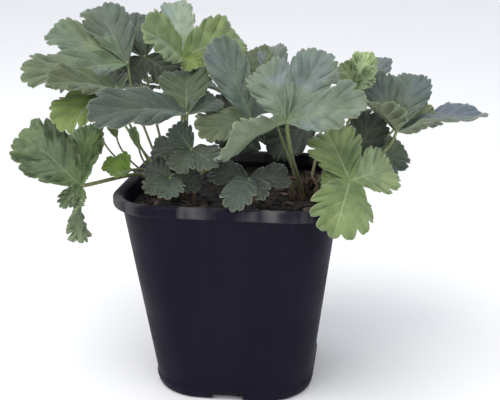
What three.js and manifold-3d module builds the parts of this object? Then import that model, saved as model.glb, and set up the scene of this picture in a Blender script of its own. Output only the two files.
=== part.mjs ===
// A strawberry plant with two crowns, growing in a square nursery container.
// Millimetres, +Z up. The origin is the centre of the container's base, on the
// surface that it stands on, and the container's front wall faces -Y.

import * as THREE from 'three';
import { mergeVertices } from 'three/addons/utils/BufferGeometryUtils.js';
import Module from 'manifold-3d';

const wasm = await Module();
wasm.setup();

// ---- driving dimensions --------------------------------------------------

const GAP = 0.3;                 // clearance between pieces that touch
const WELD = 1e-4;               // corners closer than this are one

const POT = {
  height: 140,
  rimHalf: 75, rimCorner: 34,    // half the width across the rim, and its corner radius
  baseHalf: 52.5, baseCorner: 33,
  rimBand: 7, rimStep: 6,        // height of the rim band, and how far it stands proud
  wall: 1.8, floor: 3, edge: 1.2,   // the edges are cut back by this much
  footHeight: 7, footBulge: 1.2,
  notchWidth: 20, notchHeight: 6, notchDepth: 6,
};

const SOIL = { top: 128, bump: 1.3, rings: 4 };

const FOOT = { depth: 9, above: 3, clear: 0.5 };   // petiole feet in their holes
const HOLE = { length: 30, sides: 6, crownSides: 12 };

const CROWN = {
  left: { at: [-42, 2], radius: 6, height: 9, scales: 5, runners: [[-26, -26]] },
  right: { at: [46, 8], radius: 6.5, height: 9, scales: 6, runners: [[27, -4], [55, -20]] },
  sides: 10,
  scale: { radius: 2, above: 3, sides: 4, lean: 0.25, turn: 0.3 },
  runner: { stem: 1.1, hubHeight: 3, stand: 0.6, rise: -0.5, arch: 0.3 },
  rings: [9.5, 13.5, 17.5],      // distances of the petiole feet from a crown's middle
};

const BLADE = {
  thickness: 0.8,
  widest: 0.667,                 // where along the midrib the blade is widest
  tipPower: 0.95,                // below 1 blunts the tip
  veinReach: 0.8,                // the last pair of veins leaves the midrib here
  veinPower: 1.2,                // above 1 crowds the veins towards the base
  notchPower: 0.6,               // below 1 sharpens the notches between teeth
  baseHalf: 0.9,                 // half width where the blade meets its petiole
  rippleShift: 0.8,              // the margins' ripples are this far out of step
  finelySplit: 75,               // blades longer than this get a row of points mid-vein
};

const PETIOLE = {
  stem: 0.9, knob: 2.2, arch: 0.1, rise: 0.4, stand: 0.15, swing: 0,   // unless a frond's row says otherwise
  sides: 5, step: 21,
};

const COLOUR = { pot: 0x2a2933, soil: 0x1c1815, crown: 0x6b4a3c };

const LEAF_DEFAULTS = {
  teeth: 4, bite: 0.2, fold: 8, droop: 25, twist: 0, wave: 0.03, waves: 1.5, face: [0, -0.3, 1],
};

// Shapes that many leaflets share.
const SMALL = { bite: 0.24 };
const TINY = { teeth: 3, bite: 0.24 };
const LARGE = { teeth: 5 };
const LOBED = { bite: 0.25 };
const BACK = { droop: 35 };
const TILTED = { droop: 35, face: [0, -0.6, 0.8] };
const FACING = { face: [0, -0.8, 0.8] };
const UNDERSIDE = { face: [0.5, 0.8, 0.5] };
const SPRIG = { stem: 0.7, knob: 1.3 };
const OVER_RIM = { arch: 0.5, rise: 0, stand: 0.35 };

// One row for each frond: the hub where its leaflets meet, and each leaflet's
// tip, half width and shape. Angles are in degrees.
const leaf = (x, y, z, wide, ...shapes) => Object.assign({ tip: [x, y, z], wide }, ...shapes);

const FRONDS = [
  { name: 'frond_high_left', crown: 'left', ring: 0, hub: [-73, -5, 216], green: 0x66785f, leaflets: [
    leaf(-105, 33, 248, 17, LARGE, { face: [0.2, -0.6, 1] }),
    leaf(-132, 12, 233, 16, LARGE, { face: [0, -0.7, 1] }),
    leaf(-129, -50, 211, 18, LARGE, { face: [0, -0.9, 1], droop: 15 }),
  ] },
  { name: 'frond_mid_left', crown: 'left', ring: 1, hub: [-73, -24, 201], green: 0x6b7a4c, leaflets: [
    leaf(-108, -62, 212, 14, { face: [0, -0.8, 1] }),
    leaf(-102, -61, 182, 18, { face: [-0.2, -0.8, 1], droop: 45 }),
    leaf(-92, 5, 206, 13),
  ] },
  { name: 'frond_behind_left', crown: 'left', ring: 0, hub: [-69, 25, 216], green: 0x55665a, leaflets: [
    leaf(-95, 55, 236, 15, FACING),
    leaf(-72, 66, 240, 17, FACING),
    leaf(-80, 12, 199, 13, FACING),
    leaf(-45, 22, 200, 13, FACING),
  ] },
  { name: 'frond_top', crown: 'left', ring: 0, hub: [-39, 9, 218], green: 0x72835e, leaflets: [
    leaf(-59, -20, 241, 19, LARGE, { face: [0.3, -0.8, 0.8] }),
    leaf(-4, 38, 228, 20, LARGE, { droop: 50, face: [0.2, -0.9, 0.8] }),
    leaf(-52, 53, 251, 12, { face: [0, -0.6, 1] }),
    leaf(-24, 0, 214, 9, FACING),
  ] },
  { name: 'frond_centre', crown: 'left', ring: 0, hub: [10, -13, 183], green: 0x64746a, leaflets: [
    leaf(-17, 8, 232, 14, { face: [0.1, -1, 0.6] }),
    leaf(-18, -44, 177, 16, { face: [0, -0.8, 1] }),
    leaf(20, 24, 188, 13, FACING),
  ] },
  { name: 'frond_inner_left', crown: 'left', ring: 1, hub: [-28, -32, 189], green: 0x5f7058, leaflets: [
    leaf(-36, 6, 210, 18, LARGE, { face: [0, -0.7, 1] }),
    leaf(-80, -72, 192, 18, LARGE, { face: [0, -0.8, 1], droop: 45 }),
    leaf(-12, -11, 195, 11, FACING),
  ] },
  { name: 'frond_front', crown: 'right', ring: 1, hub: [36, -37, 187], stem: 1.3,
    green: 0x75877a, leaflets: [
    leaf(18, 0, 217, 16, LARGE, { face: [-0.2, -1, 0.6] }),
    leaf(55, 2, 226, 15, LARGE, { face: [0.2, -1, 0.6] }),
    leaf(85, -61, 202, 19, LARGE, { face: [0.2, -0.9, 1] }),
    leaf(0, -73, 171, 20, UNDERSIDE),
  ] },
  { name: 'frond_right', crown: 'right', ring: 0, hub: [104, 1, 175], stem: 1.2, green: 0x65756c, leaflets: [
    leaf(163, 20, 182, 14, LARGE, { face: [0, -0.1, 1] }),
    leaf(84, -26, 199, 19, { face: [0.6, 0.7, 0.6] }),
    leaf(114, 38, 206, 16, FACING, LARGE),
    leaf(86, 30, 207, 13, FACING),
    leaf(130, 18, 183, 11, { face: [0.1, 0.9, 0.3] }),
  ] },
  { name: 'frond_young_ruffled', crown: 'right', ring: 0, swing: -50, hub: [77, 9, 199],
    green: 0x8c9c62, leaflets: [
    leaf(83, 22, 223, 9, FACING, { wave: 0.08 }),
    leaf(66, 2, 218, 8, FACING, { wave: 0.08 }),
    leaf(90, 2, 214, 7, FACING, { wave: 0.08 }),
  ] },
  { name: 'frond_low_right', crown: 'right', ring: 1, hub: [76, 17, 146], ...OVER_RIM,
    green: 0x55604f, leaflets: [
    leaf(113, 31, 152, 16, FACING),
    leaf(91, 22, 182, 16, FACING),
    leaf(102, 0, 149, 10, FACING),
  ] },
  { name: 'frond_front_right', crown: 'right', ring: 2, hub: [76, -49, 154], stem: 1.2, ...OVER_RIM,
    green: 0x86985f, leaflets: [
    leaf(60, -18, 178, 18, LOBED, { face: [0, -1, 0.7] }),
    leaf(102, -28, 157, 17, LOBED, { face: [0.3, -1, 0.8] }),
    leaf(68, -85, 129, 20, LOBED, { face: [0.2, -1, 0.6], droop: 40 }),
    leaf(58, -42, 150, 9, FACING, SMALL),
  ] },
  { name: 'frond_front_low', crown: 'right', ring: 2, hub: [14, -48, 152], ...OVER_RIM,
    green: 0x4f5f58, leaflets: [
    leaf(-13, -38, 154, 10, FACING, SMALL),
    leaf(8, -80, 141, 11, FACING, SMALL, { droop: 45 }),
    leaf(26, -70, 146, 8, FACING, SMALL),
    leaf(38, -34, 150, 10, FACING, SMALL),
  ] },
  { name: 'frond_front_left', crown: 'left', ring: 2, hub: [-24, -40, 168], green: 0x57665a, leaflets: [
    leaf(-4, -58, 162, 11, FACING, SMALL),
    leaf(-28, -61, 158, 10, FACING, SMALL),
    leaf(-52, -28, 165, 9, FACING, SMALL),
    leaf(-37, -33, 182, 9, FACING, SMALL),
  ] },
  { name: 'frond_low_left', crown: 'left', ring: 2, hub: [-36, -48, 151], ...OVER_RIM,
    green: 0x586a5c, leaflets: [
    leaf(-54, -32, 154, 9, FACING, SMALL),
    leaf(-33, -68, 143, 11, FACING, SMALL),
    leaf(-17, -43, 146, 9, FACING, SMALL),
    leaf(-48, -66, 146, 8, FACING, SMALL),
  ] },
  { name: 'frond_far_left', crown: 'left', ring: 2, hub: [-94, -50, 144], stem: 1.3, ...OVER_RIM,
    green: 0x71825c, leaflets: [
    leaf(-133, -46, 178, 20, LARGE, { face: [0.1, -1, 0.8], wave: 0.06 }),
    leaf(-99, -15, 176, 13, { face: [0.2, -1, 0.6] }),
    leaf(-87, -76, 115, 10, { face: [0, -1, 0.3], twist: 150, droop: 15 }),
    leaf(-102, -70, 136, 6, SMALL, { face: [0.2, -1, 0.3] }),
  ] },
  { name: 'frond_vivid', crown: 'left', ring: 1, hub: [-67, -34, 151], ...OVER_RIM,
    green: 0x7a9440, leaflets: [
    leaf(-85, -30, 154, 7, FACING, TINY),
    leaf(-76, -23, 159, 6, FACING, TINY),
    leaf(-76, -46, 151, 6, FACING, TINY),
  ] },
  { name: 'young_leaf_hanging', crown: 'left', ring: 2, hub: [-88, -23, 173], ...SPRIG,
    green: 0x6f8a4c, leaflets: [leaf(-89, -11, 186, 4, FACING, TINY)] },
  { name: 'young_leaf_folded', crown: 'left', ring: 0, hub: [-60, -32, 166], ...SPRIG,
    green: 0xa7b58a, leaflets: [leaf(-66, -26, 178, 4, FACING, TINY, { fold: 40 })] },
  { name: 'young_leaf_low', crown: 'left', ring: 1, swing: -12, hub: [-77, -24, 171], ...SPRIG,
    green: 0x7d9063, leaflets: [leaf(-82, -21, 182, 4, FACING, TINY, { fold: 25 })] },
  { name: 'frond_edge_centre', crown: 'right', ring: 0, hub: [17, 29, 197], green: 0x6c7c74, leaflets: [
    leaf(16, 69, 219, 11, FACING),
    leaf(-2, 64, 216, 14, FACING),
  ] },
  { name: 'frond_edge_right', crown: 'right', ring: 0, hub: [82, 42, 190], green: 0x6c7c74, leaflets: [
    leaf(91, 80, 211, 12, FACING),
    leaf(61, 78, 201, 13, FACING),
  ] },
  { name: 'frond_back_left', crown: 'left', ring: 2, hub: [-99, 45, 188], green: 0x5d6e58, leaflets: [
    leaf(-140, 60, 186, 16, BACK),
    leaf(-117, 86, 192, 18, BACK),
    leaf(-78, 80, 184, 17, BACK),
  ] },
  { name: 'frond_back_mid_left', crown: 'left', ring: 1, hub: [-50, 56, 190], green: 0x657650, leaflets: [
    leaf(-84, 88, 190, 15, BACK),
    leaf(-57, 104, 194, 19, BACK),
    leaf(-24, 84, 182, 16, BACK),
  ] },
  { name: 'frond_back_middle', crown: 'left', ring: 2, hub: [-3, 60, 176], green: 0x5d6e58, leaflets: [
    leaf(-36, 74, 166, 16, TILTED),
    leaf(-8, 106, 178, 18, BACK),
    leaf(24, 82, 176, 16, TILTED),
    leaf(-9, 50, 143, 20, FACING),
  ] },
  { name: 'frond_back_right', crown: 'right', ring: 1, hub: [52, 60, 172], green: 0x657650, leaflets: [
    leaf(34, 98, 170, 16, BACK),
    leaf(58, 108, 176, 18, BACK),
    leaf(82, 86, 170, 16, BACK),
    leaf(14, 52, 144, 20, FACING),
  ] },
  { name: 'frond_back_far_right', crown: 'right', ring: 2, hub: [104, 54, 166], stand: 0.3, rise: 0.2,
    green: 0x5d6e58, leaflets: [
    leaf(134, 74, 166, 16, BACK),
    leaf(108, 96, 168, 18, BACK),
  ] },
];

// ---- solids ----------------------------------------------------------------

function toSolid(geometry) {
  const bare = geometry.clone();
  for (const extra of ['normal', 'uv']) bare.deleteAttribute(extra);
  const merged = mergeVertices(bare, WELD);
  return new wasm.Manifold(new wasm.Mesh({
    numProp: 3,
    vertProperties: new Float32Array(merged.attributes.position.array),
    triVerts: new Uint32Array(merged.index.array),
  }));
}

function toGeometry(solid) {
  const mesh = solid.getMesh();
  const geometry = new THREE.BufferGeometry();
  geometry.setAttribute('position', new THREE.BufferAttribute(mesh.vertProperties, 3));
  geometry.setIndex(new THREE.BufferAttribute(mesh.triVerts, 1));
  return geometry;
}

// The union of several closed shapes, without any loose scrap.
function join(geometries) {
  const pieces = geometries.map(toSolid).reduce((sum, solid) => sum.add(solid)).decompose();
  return pieces.reduce((best, piece) => (piece.volume() > best.volume() ? piece : best));
}

function finish(name, geometry, colour, roughness) {
  const flat = geometry.toNonIndexed();
  flat.computeVertexNormals();
  const material = new THREE.MeshStandardMaterial({ color: colour, roughness, metalness: 0 });
  const mesh = new THREE.Mesh(flat, material);
  mesh.name = name;
  return mesh;
}

// A square ring with round corners, walked anticlockwise at one height.
function squareRing(half, corner, z, perCorner = 5) {
  const points = [];
  for (let quarter = 0; quarter < 4; quarter += 1) {
    const middle = new THREE.Vector2(half - corner, half - corner)
      .rotateAround(new THREE.Vector2(), quarter * Math.PI / 2);
    for (let i = 0; i <= perCorner; i += 1) {
      const turn = (quarter + i / perCorner) * Math.PI / 2;
      points.push(new THREE.Vector3(
        middle.x + corner * Math.cos(turn), middle.y + corner * Math.sin(turn), z));
    }
  }
  return points;
}

// A closed skin over a stack of rings, with a flat cap on its first and last ring.
function loft(rings, firstMiddle, lastMiddle) {
  const count = rings[0].length;
  const position = rings.flat().concat([firstMiddle, lastMiddle]).flatMap((p) => [p.x, p.y, p.z]);
  const first = rings.length * count;
  const last = first + 1;
  const index = [];
  for (let i = 0; i < count; i += 1) {
    const next = (i + 1) % count;
    index.push(first, next, i);
    for (let r = 0; r + 1 < rings.length; r += 1) {
      const [a, b, c, d] = [r * count + i, r * count + next, (r + 1) * count + next, (r + 1) * count + i];
      index.push(a, b, c, a, c, d);
    }
    const top = (rings.length - 1) * count;
    index.push(top + i, top + next, last);
  }
  const geometry = new THREE.BufferGeometry();
  geometry.setAttribute('position', new THREE.Float32BufferAttribute(position, 3));
  geometry.setIndex(index);
  return geometry;
}

// ---- container -------------------------------------------------------------

// Half width and corner radius of the outer wall at height z.
function wallAt(z) {
  const t = z / (POT.height - POT.rimBand);
  return {
    half: THREE.MathUtils.lerp(POT.baseHalf, POT.rimHalf - POT.rimStep, t),
    corner: THREE.MathUtils.lerp(POT.baseCorner, POT.rimCorner - POT.rimStep, t),
  };
}

function potRing(z, outward) {
  const { half, corner } = wallAt(z);
  return squareRing(half + outward, corner + outward, z);
}

// The profile runs up the outside and down the inside. Each of its points is a
// height, and a distance outward from the plain tapered wall.
function makePot() {
  const { height, rimBand, rimStep, wall, floor, edge, footHeight, footBulge } = POT;
  const under = height - rimBand;
  const profile = [
    [0, footBulge - 2 * edge], [edge, footBulge - edge / 2], [footHeight, footBulge],
    [footHeight + 2 * edge, 0], [under - edge, 0], [under, rimStep - edge],
    [under + edge, rimStep - edge / 2], [height - edge, rimStep - edge], [height, rimStep - 2 * edge],
    [height, edge / 2], [height - edge, -wall], [under, -wall], [floor, -wall],
  ];
  const rings = profile.map(([z, outward]) => potRing(z, outward));
  const shell = toSolid(loft(rings, new THREE.Vector3(0, 0, 0), new THREE.Vector3(0, 0, floor)));
  const notch = new THREE.BoxGeometry(POT.notchWidth, 2 * POT.notchDepth, 2 * POT.notchHeight);
  let pot = shell;
  for (let side = 0; side < 4; side += 1) {
    const cut = notch.clone().translate(0, -POT.baseHalf, 0).rotateZ(side * Math.PI / 2);
    pot = pot.subtract(toSolid(cut));
  }
  return finish('pot', toGeometry(pot), COLOUR.pot, 0.5);
}

// ---- soil ------------------------------------------------------------------

function soilBump(x, y) {
  return SOIL.bump * (Math.sin(0.21 * x + 1.3) * Math.cos(0.17 * y + 0.4) + 0.4 * Math.sin(0.37 * (x - y)));
}

function makeSoil(petioles, crowns) {
  const inward = -POT.wall - GAP;
  const rings = [potRing(POT.floor + GAP, inward), potRing(SOIL.top, inward)];
  for (let r = SOIL.rings - 1; r > 0; r -= 1) {
    const scale = r / SOIL.rings;
    rings.push(potRing(SOIL.top, inward).map((p) => {
      const [x, y] = [p.x * scale, p.y * scale];
      return new THREE.Vector3(x, y, SOIL.top + soilBump(x, y));
    }));
  }
  const middle = new THREE.Vector3(0, 0, SOIL.top + soilBump(0, 0));
  let soil = toSolid(loft(rings, new THREE.Vector3(0, 0, POT.floor + GAP), middle));
  for (const { foot, radius } of petioles) {
    soil = soil.subtract(toSolid(footHole(foot.x, foot.y, radius, HOLE.sides)));
  }
  for (const { at, radius } of crowns) {
    soil = soil.subtract(toSolid(footHole(...at, radius, HOLE.crownSides)));
  }
  return finish('soil', toGeometry(soil), COLOUR.soil, 0.95);
}

// The plain upright hole that a foot of the given radius stands in.
function footHole(x, y, radius, sides) {
  const wide = radius + FOOT.clear;
  const bottom = SOIL.top - FOOT.depth - GAP;
  return new THREE.CylinderGeometry(wide, wide, HOLE.length, sides)
    .rotateX(Math.PI / 2).translate(x, y, bottom + HOLE.length / 2);
}

// ---- crowns ----------------------------------------------------------------

// A short woody stump with pointed scales round it, and runners that arch from
// it down into the soil.
function makeCrown(side) {
  const { at, radius, height, runners, scales } = CROWN[side];
  const { above, lean, turn } = CROWN.scale;
  const narrow = radius / 3;
  const profile = [
    [0, -FOOT.depth], [radius, -FOOT.depth], [radius, 1], [radius * 0.8, height / 2],
    [narrow, height], [0, height],
  ].map(([r, z]) => new THREE.Vector2(r, z));
  const pieces = [new THREE.LatheGeometry(profile, CROWN.sides).rotateX(Math.PI / 2)];
  for (let i = 0; i < scales; i += 1) {
    const scale = new THREE.ConeGeometry(CROWN.scale.radius, height + above, CROWN.scale.sides)
      .rotateX(Math.PI / 2).translate(0, 0, (height + above) / 2).rotateY(lean)
      .translate(narrow, 0, 0).rotateZ((i + turn) / scales * 2 * Math.PI);
    pieces.push(scale);
  }
  for (const piece of pieces) piece.translate(at[0], at[1], SOIL.top);
  for (const foot of runners) pieces.push(makePetiole(runnerRow(side, foot)));
  return finish(`crown_${side}`, toGeometry(join(pieces)), COLOUR.crown, 0.8);
}

// A runner is drawn as a petiole whose hub is inside the crown.
function runnerRow(side, foot) {
  const { hubHeight, ...shape } = CROWN.runner;
  return { ...PETIOLE, ...shape, foot, hub: [...CROWN[side].at, SOIL.top + hubHeight] };
}

// ---- leaflets --------------------------------------------------------------

// Distance along the midrib and half width of the blade's margin at tooth
// coordinate a, as shares of its length and half width. The blade is wedge
// shaped at its base and round at its tip.
function margin(a, teeth) {
  const along = Math.sin(a / teeth * Math.PI / 2) ** BLADE.tipPower;
  const peak = BLADE.widest * Math.sqrt(1 - BLADE.widest);
  return { along, half: along * Math.sqrt(Math.max(0, 1 - along)) / peak };
}

// Depth of the cut between teeth: 0 on a tooth's tip and 1 in a notch.
function notch(a) {
  return a < 1 ? 0 : 1 - Math.abs(Math.cos(Math.PI * a)) ** BLADE.notchPower;
}

// Point of the blade's middle surface. Tooth coordinate a runs from the base
// (0) to the tip (teeth), r from the midrib (0) along a vein to the margin (1),
// and side is +1 on the left and -1 on the right.
function bladePoint(leaflet, frame, side, a, r) {
  const { teeth, bite, wide, wave, waves } = leaflet;
  const root = BLADE.veinReach * (a / teeth) ** BLADE.veinPower;
  const edge = margin(a, teeth);
  const reach = r * (1 - bite * notch(a));
  const along = root + (edge.along - root) * reach;
  const across = reach * (wide * edge.half + BLADE.baseHalf * (1 - a / teeth) ** 3);
  const droop = THREE.MathUtils.degToRad(leaflet.droop || 1);
  const fold = THREE.MathUtils.degToRad(leaflet.fold);
  const twist = THREE.MathUtils.degToRad(leaflet.twist) * along;
  const turn = droop * (along - 0.5);
  const scale = frame.length / 2 / Math.sin(droop / 2);
  const ahead = frame.length / 2 + scale * Math.sin(turn);
  const above = scale * (Math.cos(turn) - Math.cos(droop / 2));
  const up = frame.up.clone().multiplyScalar(Math.cos(turn)).addScaledVector(frame.ahead, Math.sin(turn));
  const left = frame.left.clone();
  const axis = new THREE.Vector3().crossVectors(left, up).normalize();
  up.applyAxisAngle(axis, twist);
  left.applyAxisAngle(axis, twist);
  const phase = 2 * Math.PI * waves * along + side * BLADE.rippleShift;
  const ripple = wave * frame.length * r * r * Math.sin(phase);
  return frame.base.clone()
    .addScaledVector(frame.ahead, ahead)
    .addScaledVector(frame.up, above)
    .addScaledVector(left, side * across * Math.cos(fold))
    .addScaledVector(up, across * Math.sin(fold) + ripple * Math.min(1, across / wide * 2));
}

function leafletFrame(hub, leaflet) {
  const base = new THREE.Vector3(...hub);
  const ahead = new THREE.Vector3(...leaflet.tip).sub(base);
  const length = ahead.length();
  ahead.divideScalar(length);
  const up = new THREE.Vector3(...leaflet.face);
  up.addScaledVector(ahead, -up.dot(ahead)).normalize();
  const left = new THREE.Vector3().crossVectors(up, ahead);
  return { base, ahead, up, left, length };
}

// One thin blade as a closed solid: its middle surface on a grid that follows
// the veins, given the same thickness on both faces.
function makeLeaflet(hub, row) {
  const leaflet = { ...LEAF_DEFAULTS, ...row };
  const frame = leafletFrame(hub, leaflet);
  const steps = 2 * leaflet.teeth;
  const columns = frame.length > BLADE.finelySplit ? 2 : 1;
  const middle = [];
  const place = new Map();
  const at = (side, j, k) => {
    const key = k === 0 ? `m${j}` : j === steps ? `t${k}` : `${side}:${j}:${k}`;
    if (!place.has(key)) {
      place.set(key, middle.length);
      middle.push(bladePoint(leaflet, frame, side, j / 2, k / columns));
    }
    return place.get(key);
  };
  const faces = [];
  for (const side of [1, -1]) {
    for (let j = 0; j < steps; j += 1) {
      for (let k = 0; k < columns; k += 1) {
        const quad = [at(side, j, k), at(side, j + 1, k), at(side, j + 1, k + 1), at(side, j, k + 1)];
        if (side < 0) quad.reverse();
        const start = j % 2 ? 0 : 1;
        const [p, q, s, t] = [0, 1, 2, 3].map((i) => quad[(i + start) % 4]);
        faces.push([p, q, s], [p, s, t]);
      }
    }
  }
  const rim = [];
  for (let j = 0; j <= steps; j += 1) rim.push(at(1, j, columns));
  for (let j = steps - 1; j >= 0; j -= 1) rim.push(at(-1, j, columns));
  for (let k = columns - 1; k >= 0; k -= 1) rim.push(at(-1, 0, k));
  for (let k = 1; k < columns; k += 1) rim.push(at(1, 0, k));
  return thicken(middle, faces, rim);
}

// Two copies of an open surface, half a thickness to each side, closed by a
// wall along its rim.
function thicken(middle, faces, rim) {
  const normals = middle.map(() => new THREE.Vector3());
  for (const [a, b, c] of faces) {
    const normal = middle[b].clone().sub(middle[a]).cross(middle[c].clone().sub(middle[a]));
    for (const i of [a, b, c]) normals[i].add(normal);
  }
  const count = middle.length;
  const position = [];
  for (const lift of [0.5, -0.5]) {
    middle.forEach((p, i) => {
      const q = p.clone().addScaledVector(normals[i].clone().normalize(), lift * BLADE.thickness);
      position.push(q.x, q.y, q.z);
    });
  }
  const index = [];
  for (const [a, b, c] of faces) index.push(a, b, c, count + a, count + c, count + b);
  rim.forEach((a, i) => {
    const b = rim[(i + 1) % rim.length];
    index.push(a, b, count + b, a, count + b, count + a);
  });
  const geometry = new THREE.BufferGeometry();
  geometry.setAttribute('position', new THREE.Float32BufferAttribute(position, 3));
  geometry.setIndex(index);
  return geometry;
}

// ---- petioles and fronds -----------------------------------------------------

function petioleFoot(frond) {
  if (frond.foot) return new THREE.Vector3(...frond.foot, SOIL.top);
  const [x, y] = CROWN[frond.crown].at;
  const heading = Math.atan2(frond.hub[1] - y, frond.hub[0] - x)
    + THREE.MathUtils.degToRad(frond.swing);
  const away = CROWN.rings[frond.ring];
  return new THREE.Vector3(x + away * Math.cos(heading), y + away * Math.sin(heading), SOIL.top);
}

// The foot stands upright in its hole, and from its top the petiole arches to
// the hub. The first of the curve's even steps is the foot.
class PetioleCurve extends THREE.Curve {
  constructor(frond) {
    super();
    this.foot = petioleFoot(frond).setZ(SOIL.top - FOOT.depth);
    this.top = this.foot.clone().setZ(SOIL.top + FOOT.above);
    const hub = new THREE.Vector3(...frond.hub);
    const reach = hub.distanceTo(this.top);
    const lean = hub.clone().sub(this.top).setZ(0).multiplyScalar(frond.arch);
    const end = hub.clone().sub(lean).setZ(hub.z - reach * frond.rise);
    const start = this.top.clone().setZ(this.top.z + reach * frond.stand);
    this.steps = 1 + Math.max(3, Math.round(reach / frond.step));
    this.arch = new THREE.CubicBezierCurve3(this.top, start, end, hub);
  }

  getPoint(t, target = new THREE.Vector3()) {
    const step = t * this.steps;
    if (step <= 1) return target.lerpVectors(this.foot, this.top, step);
    return this.arch.getPoint((step - 1) / (this.steps - 1), target);
  }

  getUtoTmapping(u) {
    return u;
  }
}

function makePetiole(frond) {
  const curve = new PetioleCurve(frond);
  const corners = [];
  for (let i = 0; i < frond.sides; i += 1) {
    const turn = i / frond.sides * 2 * Math.PI;
    corners.push(new THREE.Vector2(frond.stem * Math.cos(turn), frond.stem * Math.sin(turn)));
  }
  const section = new THREE.Shape(corners);
  return new THREE.ExtrudeGeometry(section, { steps: curve.steps, extrudePath: curve, bevelEnabled: false });
}

function makeFrond(frond) {
  const knob = new THREE.OctahedronGeometry(frond.knob).translate(...frond.hub);
  const pieces = [makePetiole(frond), knob];
  for (const row of frond.leaflets) pieces.push(makeLeaflet(frond.hub, row));
  return finish(frond.name, toGeometry(join(pieces)), frond.green, 0.6);
}

// ---- plant -------------------------------------------------------------------

const RUNNERS = ['left', 'right']
  .flatMap((side) => CROWN[side].runners.map((foot) => runnerRow(side, foot)));
const FRONDS_IN_FULL = FRONDS.map((row) => ({ ...PETIOLE, ...row }));
const STANDING = [...FRONDS_IN_FULL, ...RUNNERS]
  .map((row) => ({ foot: petioleFoot(row), radius: row.stem }));

const plant = new THREE.Group();
plant.name = 'potted_strawberry_plant';
plant.add(makePot());
plant.add(makeSoil(STANDING, [CROWN.left, CROWN.right]));
for (const side of ['left', 'right']) plant.add(makeCrown(side));
for (const frond of FRONDS_IN_FULL) plant.add(makeFrond(frond));

export default plant;
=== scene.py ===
"""A potted strawberry plant: fine leaves, stalks, crowns, soil and container.

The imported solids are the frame. Each piece made here stands for one of them,
in the same place. Sizes in the tables are in millimetres and angles in
degrees, and every mesh is written in metres.
"""

import math

import bpy
import numpy as np
from bpy.props import FloatProperty, FloatVectorProperty, IntProperty, PointerProperty
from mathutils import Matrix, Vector


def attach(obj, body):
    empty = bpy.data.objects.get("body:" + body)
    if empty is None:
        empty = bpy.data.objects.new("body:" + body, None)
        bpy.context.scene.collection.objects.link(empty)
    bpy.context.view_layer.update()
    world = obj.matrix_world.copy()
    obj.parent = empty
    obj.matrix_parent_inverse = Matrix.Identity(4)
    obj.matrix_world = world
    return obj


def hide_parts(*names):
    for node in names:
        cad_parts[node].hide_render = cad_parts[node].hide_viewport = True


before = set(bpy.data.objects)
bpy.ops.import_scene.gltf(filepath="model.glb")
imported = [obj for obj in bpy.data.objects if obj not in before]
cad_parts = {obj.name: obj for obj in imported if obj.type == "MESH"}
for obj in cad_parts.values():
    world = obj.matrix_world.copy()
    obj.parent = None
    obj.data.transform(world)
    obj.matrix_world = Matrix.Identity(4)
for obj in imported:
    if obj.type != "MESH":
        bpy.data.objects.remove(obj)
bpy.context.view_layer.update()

bl_info = {
    "name": "Potted strawberry plant",
    "version": (1, 0, 0),
    "blender": (4, 5, 0),
    "location": "3D View > Sidebar > Strawberry",
    "description": "Builds a leafy strawberry plant in a square container",
    "category": "Add Mesh",
}

MM = 0.001

# ---- driving sizes ----------------------------------------------------------

POT = {
    "height": 140, "rim_half": 75, "rim_corner": 34, "base_half": 52.5, "base_corner": 33,
    "rim_band": 7, "rim_step": 6, "wall": 1.8, "floor": 3, "edge": 1.2,
    "foot_height": 7, "foot_bulge": 1.2,
    "notch_width": 20, "notch_height": 6, "notch_depth": 6,
}
SOIL_TOP = 128
SOIL_GAP = 0.3                           # between the soil and the container
FOOT = {"depth": 9, "above": 3}          # a stalk's foot, below and above the soil
CROWN = {
    "left": {"at": (-42, 2), "radius": 6, "height": 9, "runners": [(-26, -26)]},
    "right": {"at": (46, 8), "radius": 6.5, "height": 9, "runners": [(27, -4), (55, -20)]},
}
# Loose lumps on the soil: how each kind is stretched along its three axes, and its
# squareness, where 1 is round. Then the shape and scale of the spread of their sizes,
# and the smallest and largest.
LUMPS = {"clods": ((1, 0.85, 0.7), 0.9), "chips": ((2.2, 1.1, 0.42), 0.55)}
LUMP_SIZES = (3.0, 0.42)
LUMP_LIMITS = (0.3, 4.2)
ROOTLET = {"length": (6, 20), "radius": 0.24, "rise": 1.5, "reach": 55}
RUNNER = {"radius": 1.1, "arch": 0.3, "rise": -0.5, "stand": 0.6}
# A crown's rings of scales, from the outside in: distance out as a share of the crown's
# radius, length, and how far they lean.
SCALES = ((1.0, 9, 0.35), (0.75, 10, 0.2), (0.45, 11, 0.1))
RINGS = (9.5, 13.5, 17.5)                # distances of the stalks' feet from a crown's middle

# A blade's outline: where it is widest and where its last vein starts, as shares of
# the way to its tip, half the width of its wedge-shaped base, and the shares of its
# teeth that the bare wedge and the first cuts take up.
BLADE = {"widest": 0.667, "vein_reach": 0.8, "base_half": 0.9, "bare": 0.13, "onset": 0.12}
# Powers that lean each tooth towards the tip and round it, and that round a small one.
TOOTH = {"lean": 1.2, "round": 0.6, "fine_round": 0.7}
# Half widths of a side vein and of the midrib at their ends, and how much more at their roots.
VEIN = {"end": 0.16, "more": 0.34, "rib_end": 0.18, "rib_more": 0.75}
# The frill along a margin: its height as a share of the length, and how often it comes.
FRILL = {"height": 0.018, "count": 3.3}
# Bumps along and across a blade: broad ones, and how many times finer the ruffles are.
BUMPS = {"along": 3.1, "across": 1.7, "finer": (4.2, 3.6, 1)}
LEAF = {"teeth": 5, "bite": 0.13, "fold": 8, "droop": 25, "twist": 0, "wave": 0.03, "waves": 1.5,
        "face": (0, -0.3, 1)}
FROND = {"stem": 0.9, "knob": 2.2, "arch": 0.1, "rise": 0.4, "stand": 0.15, "swing": 0, "ruffle": 0}

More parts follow.
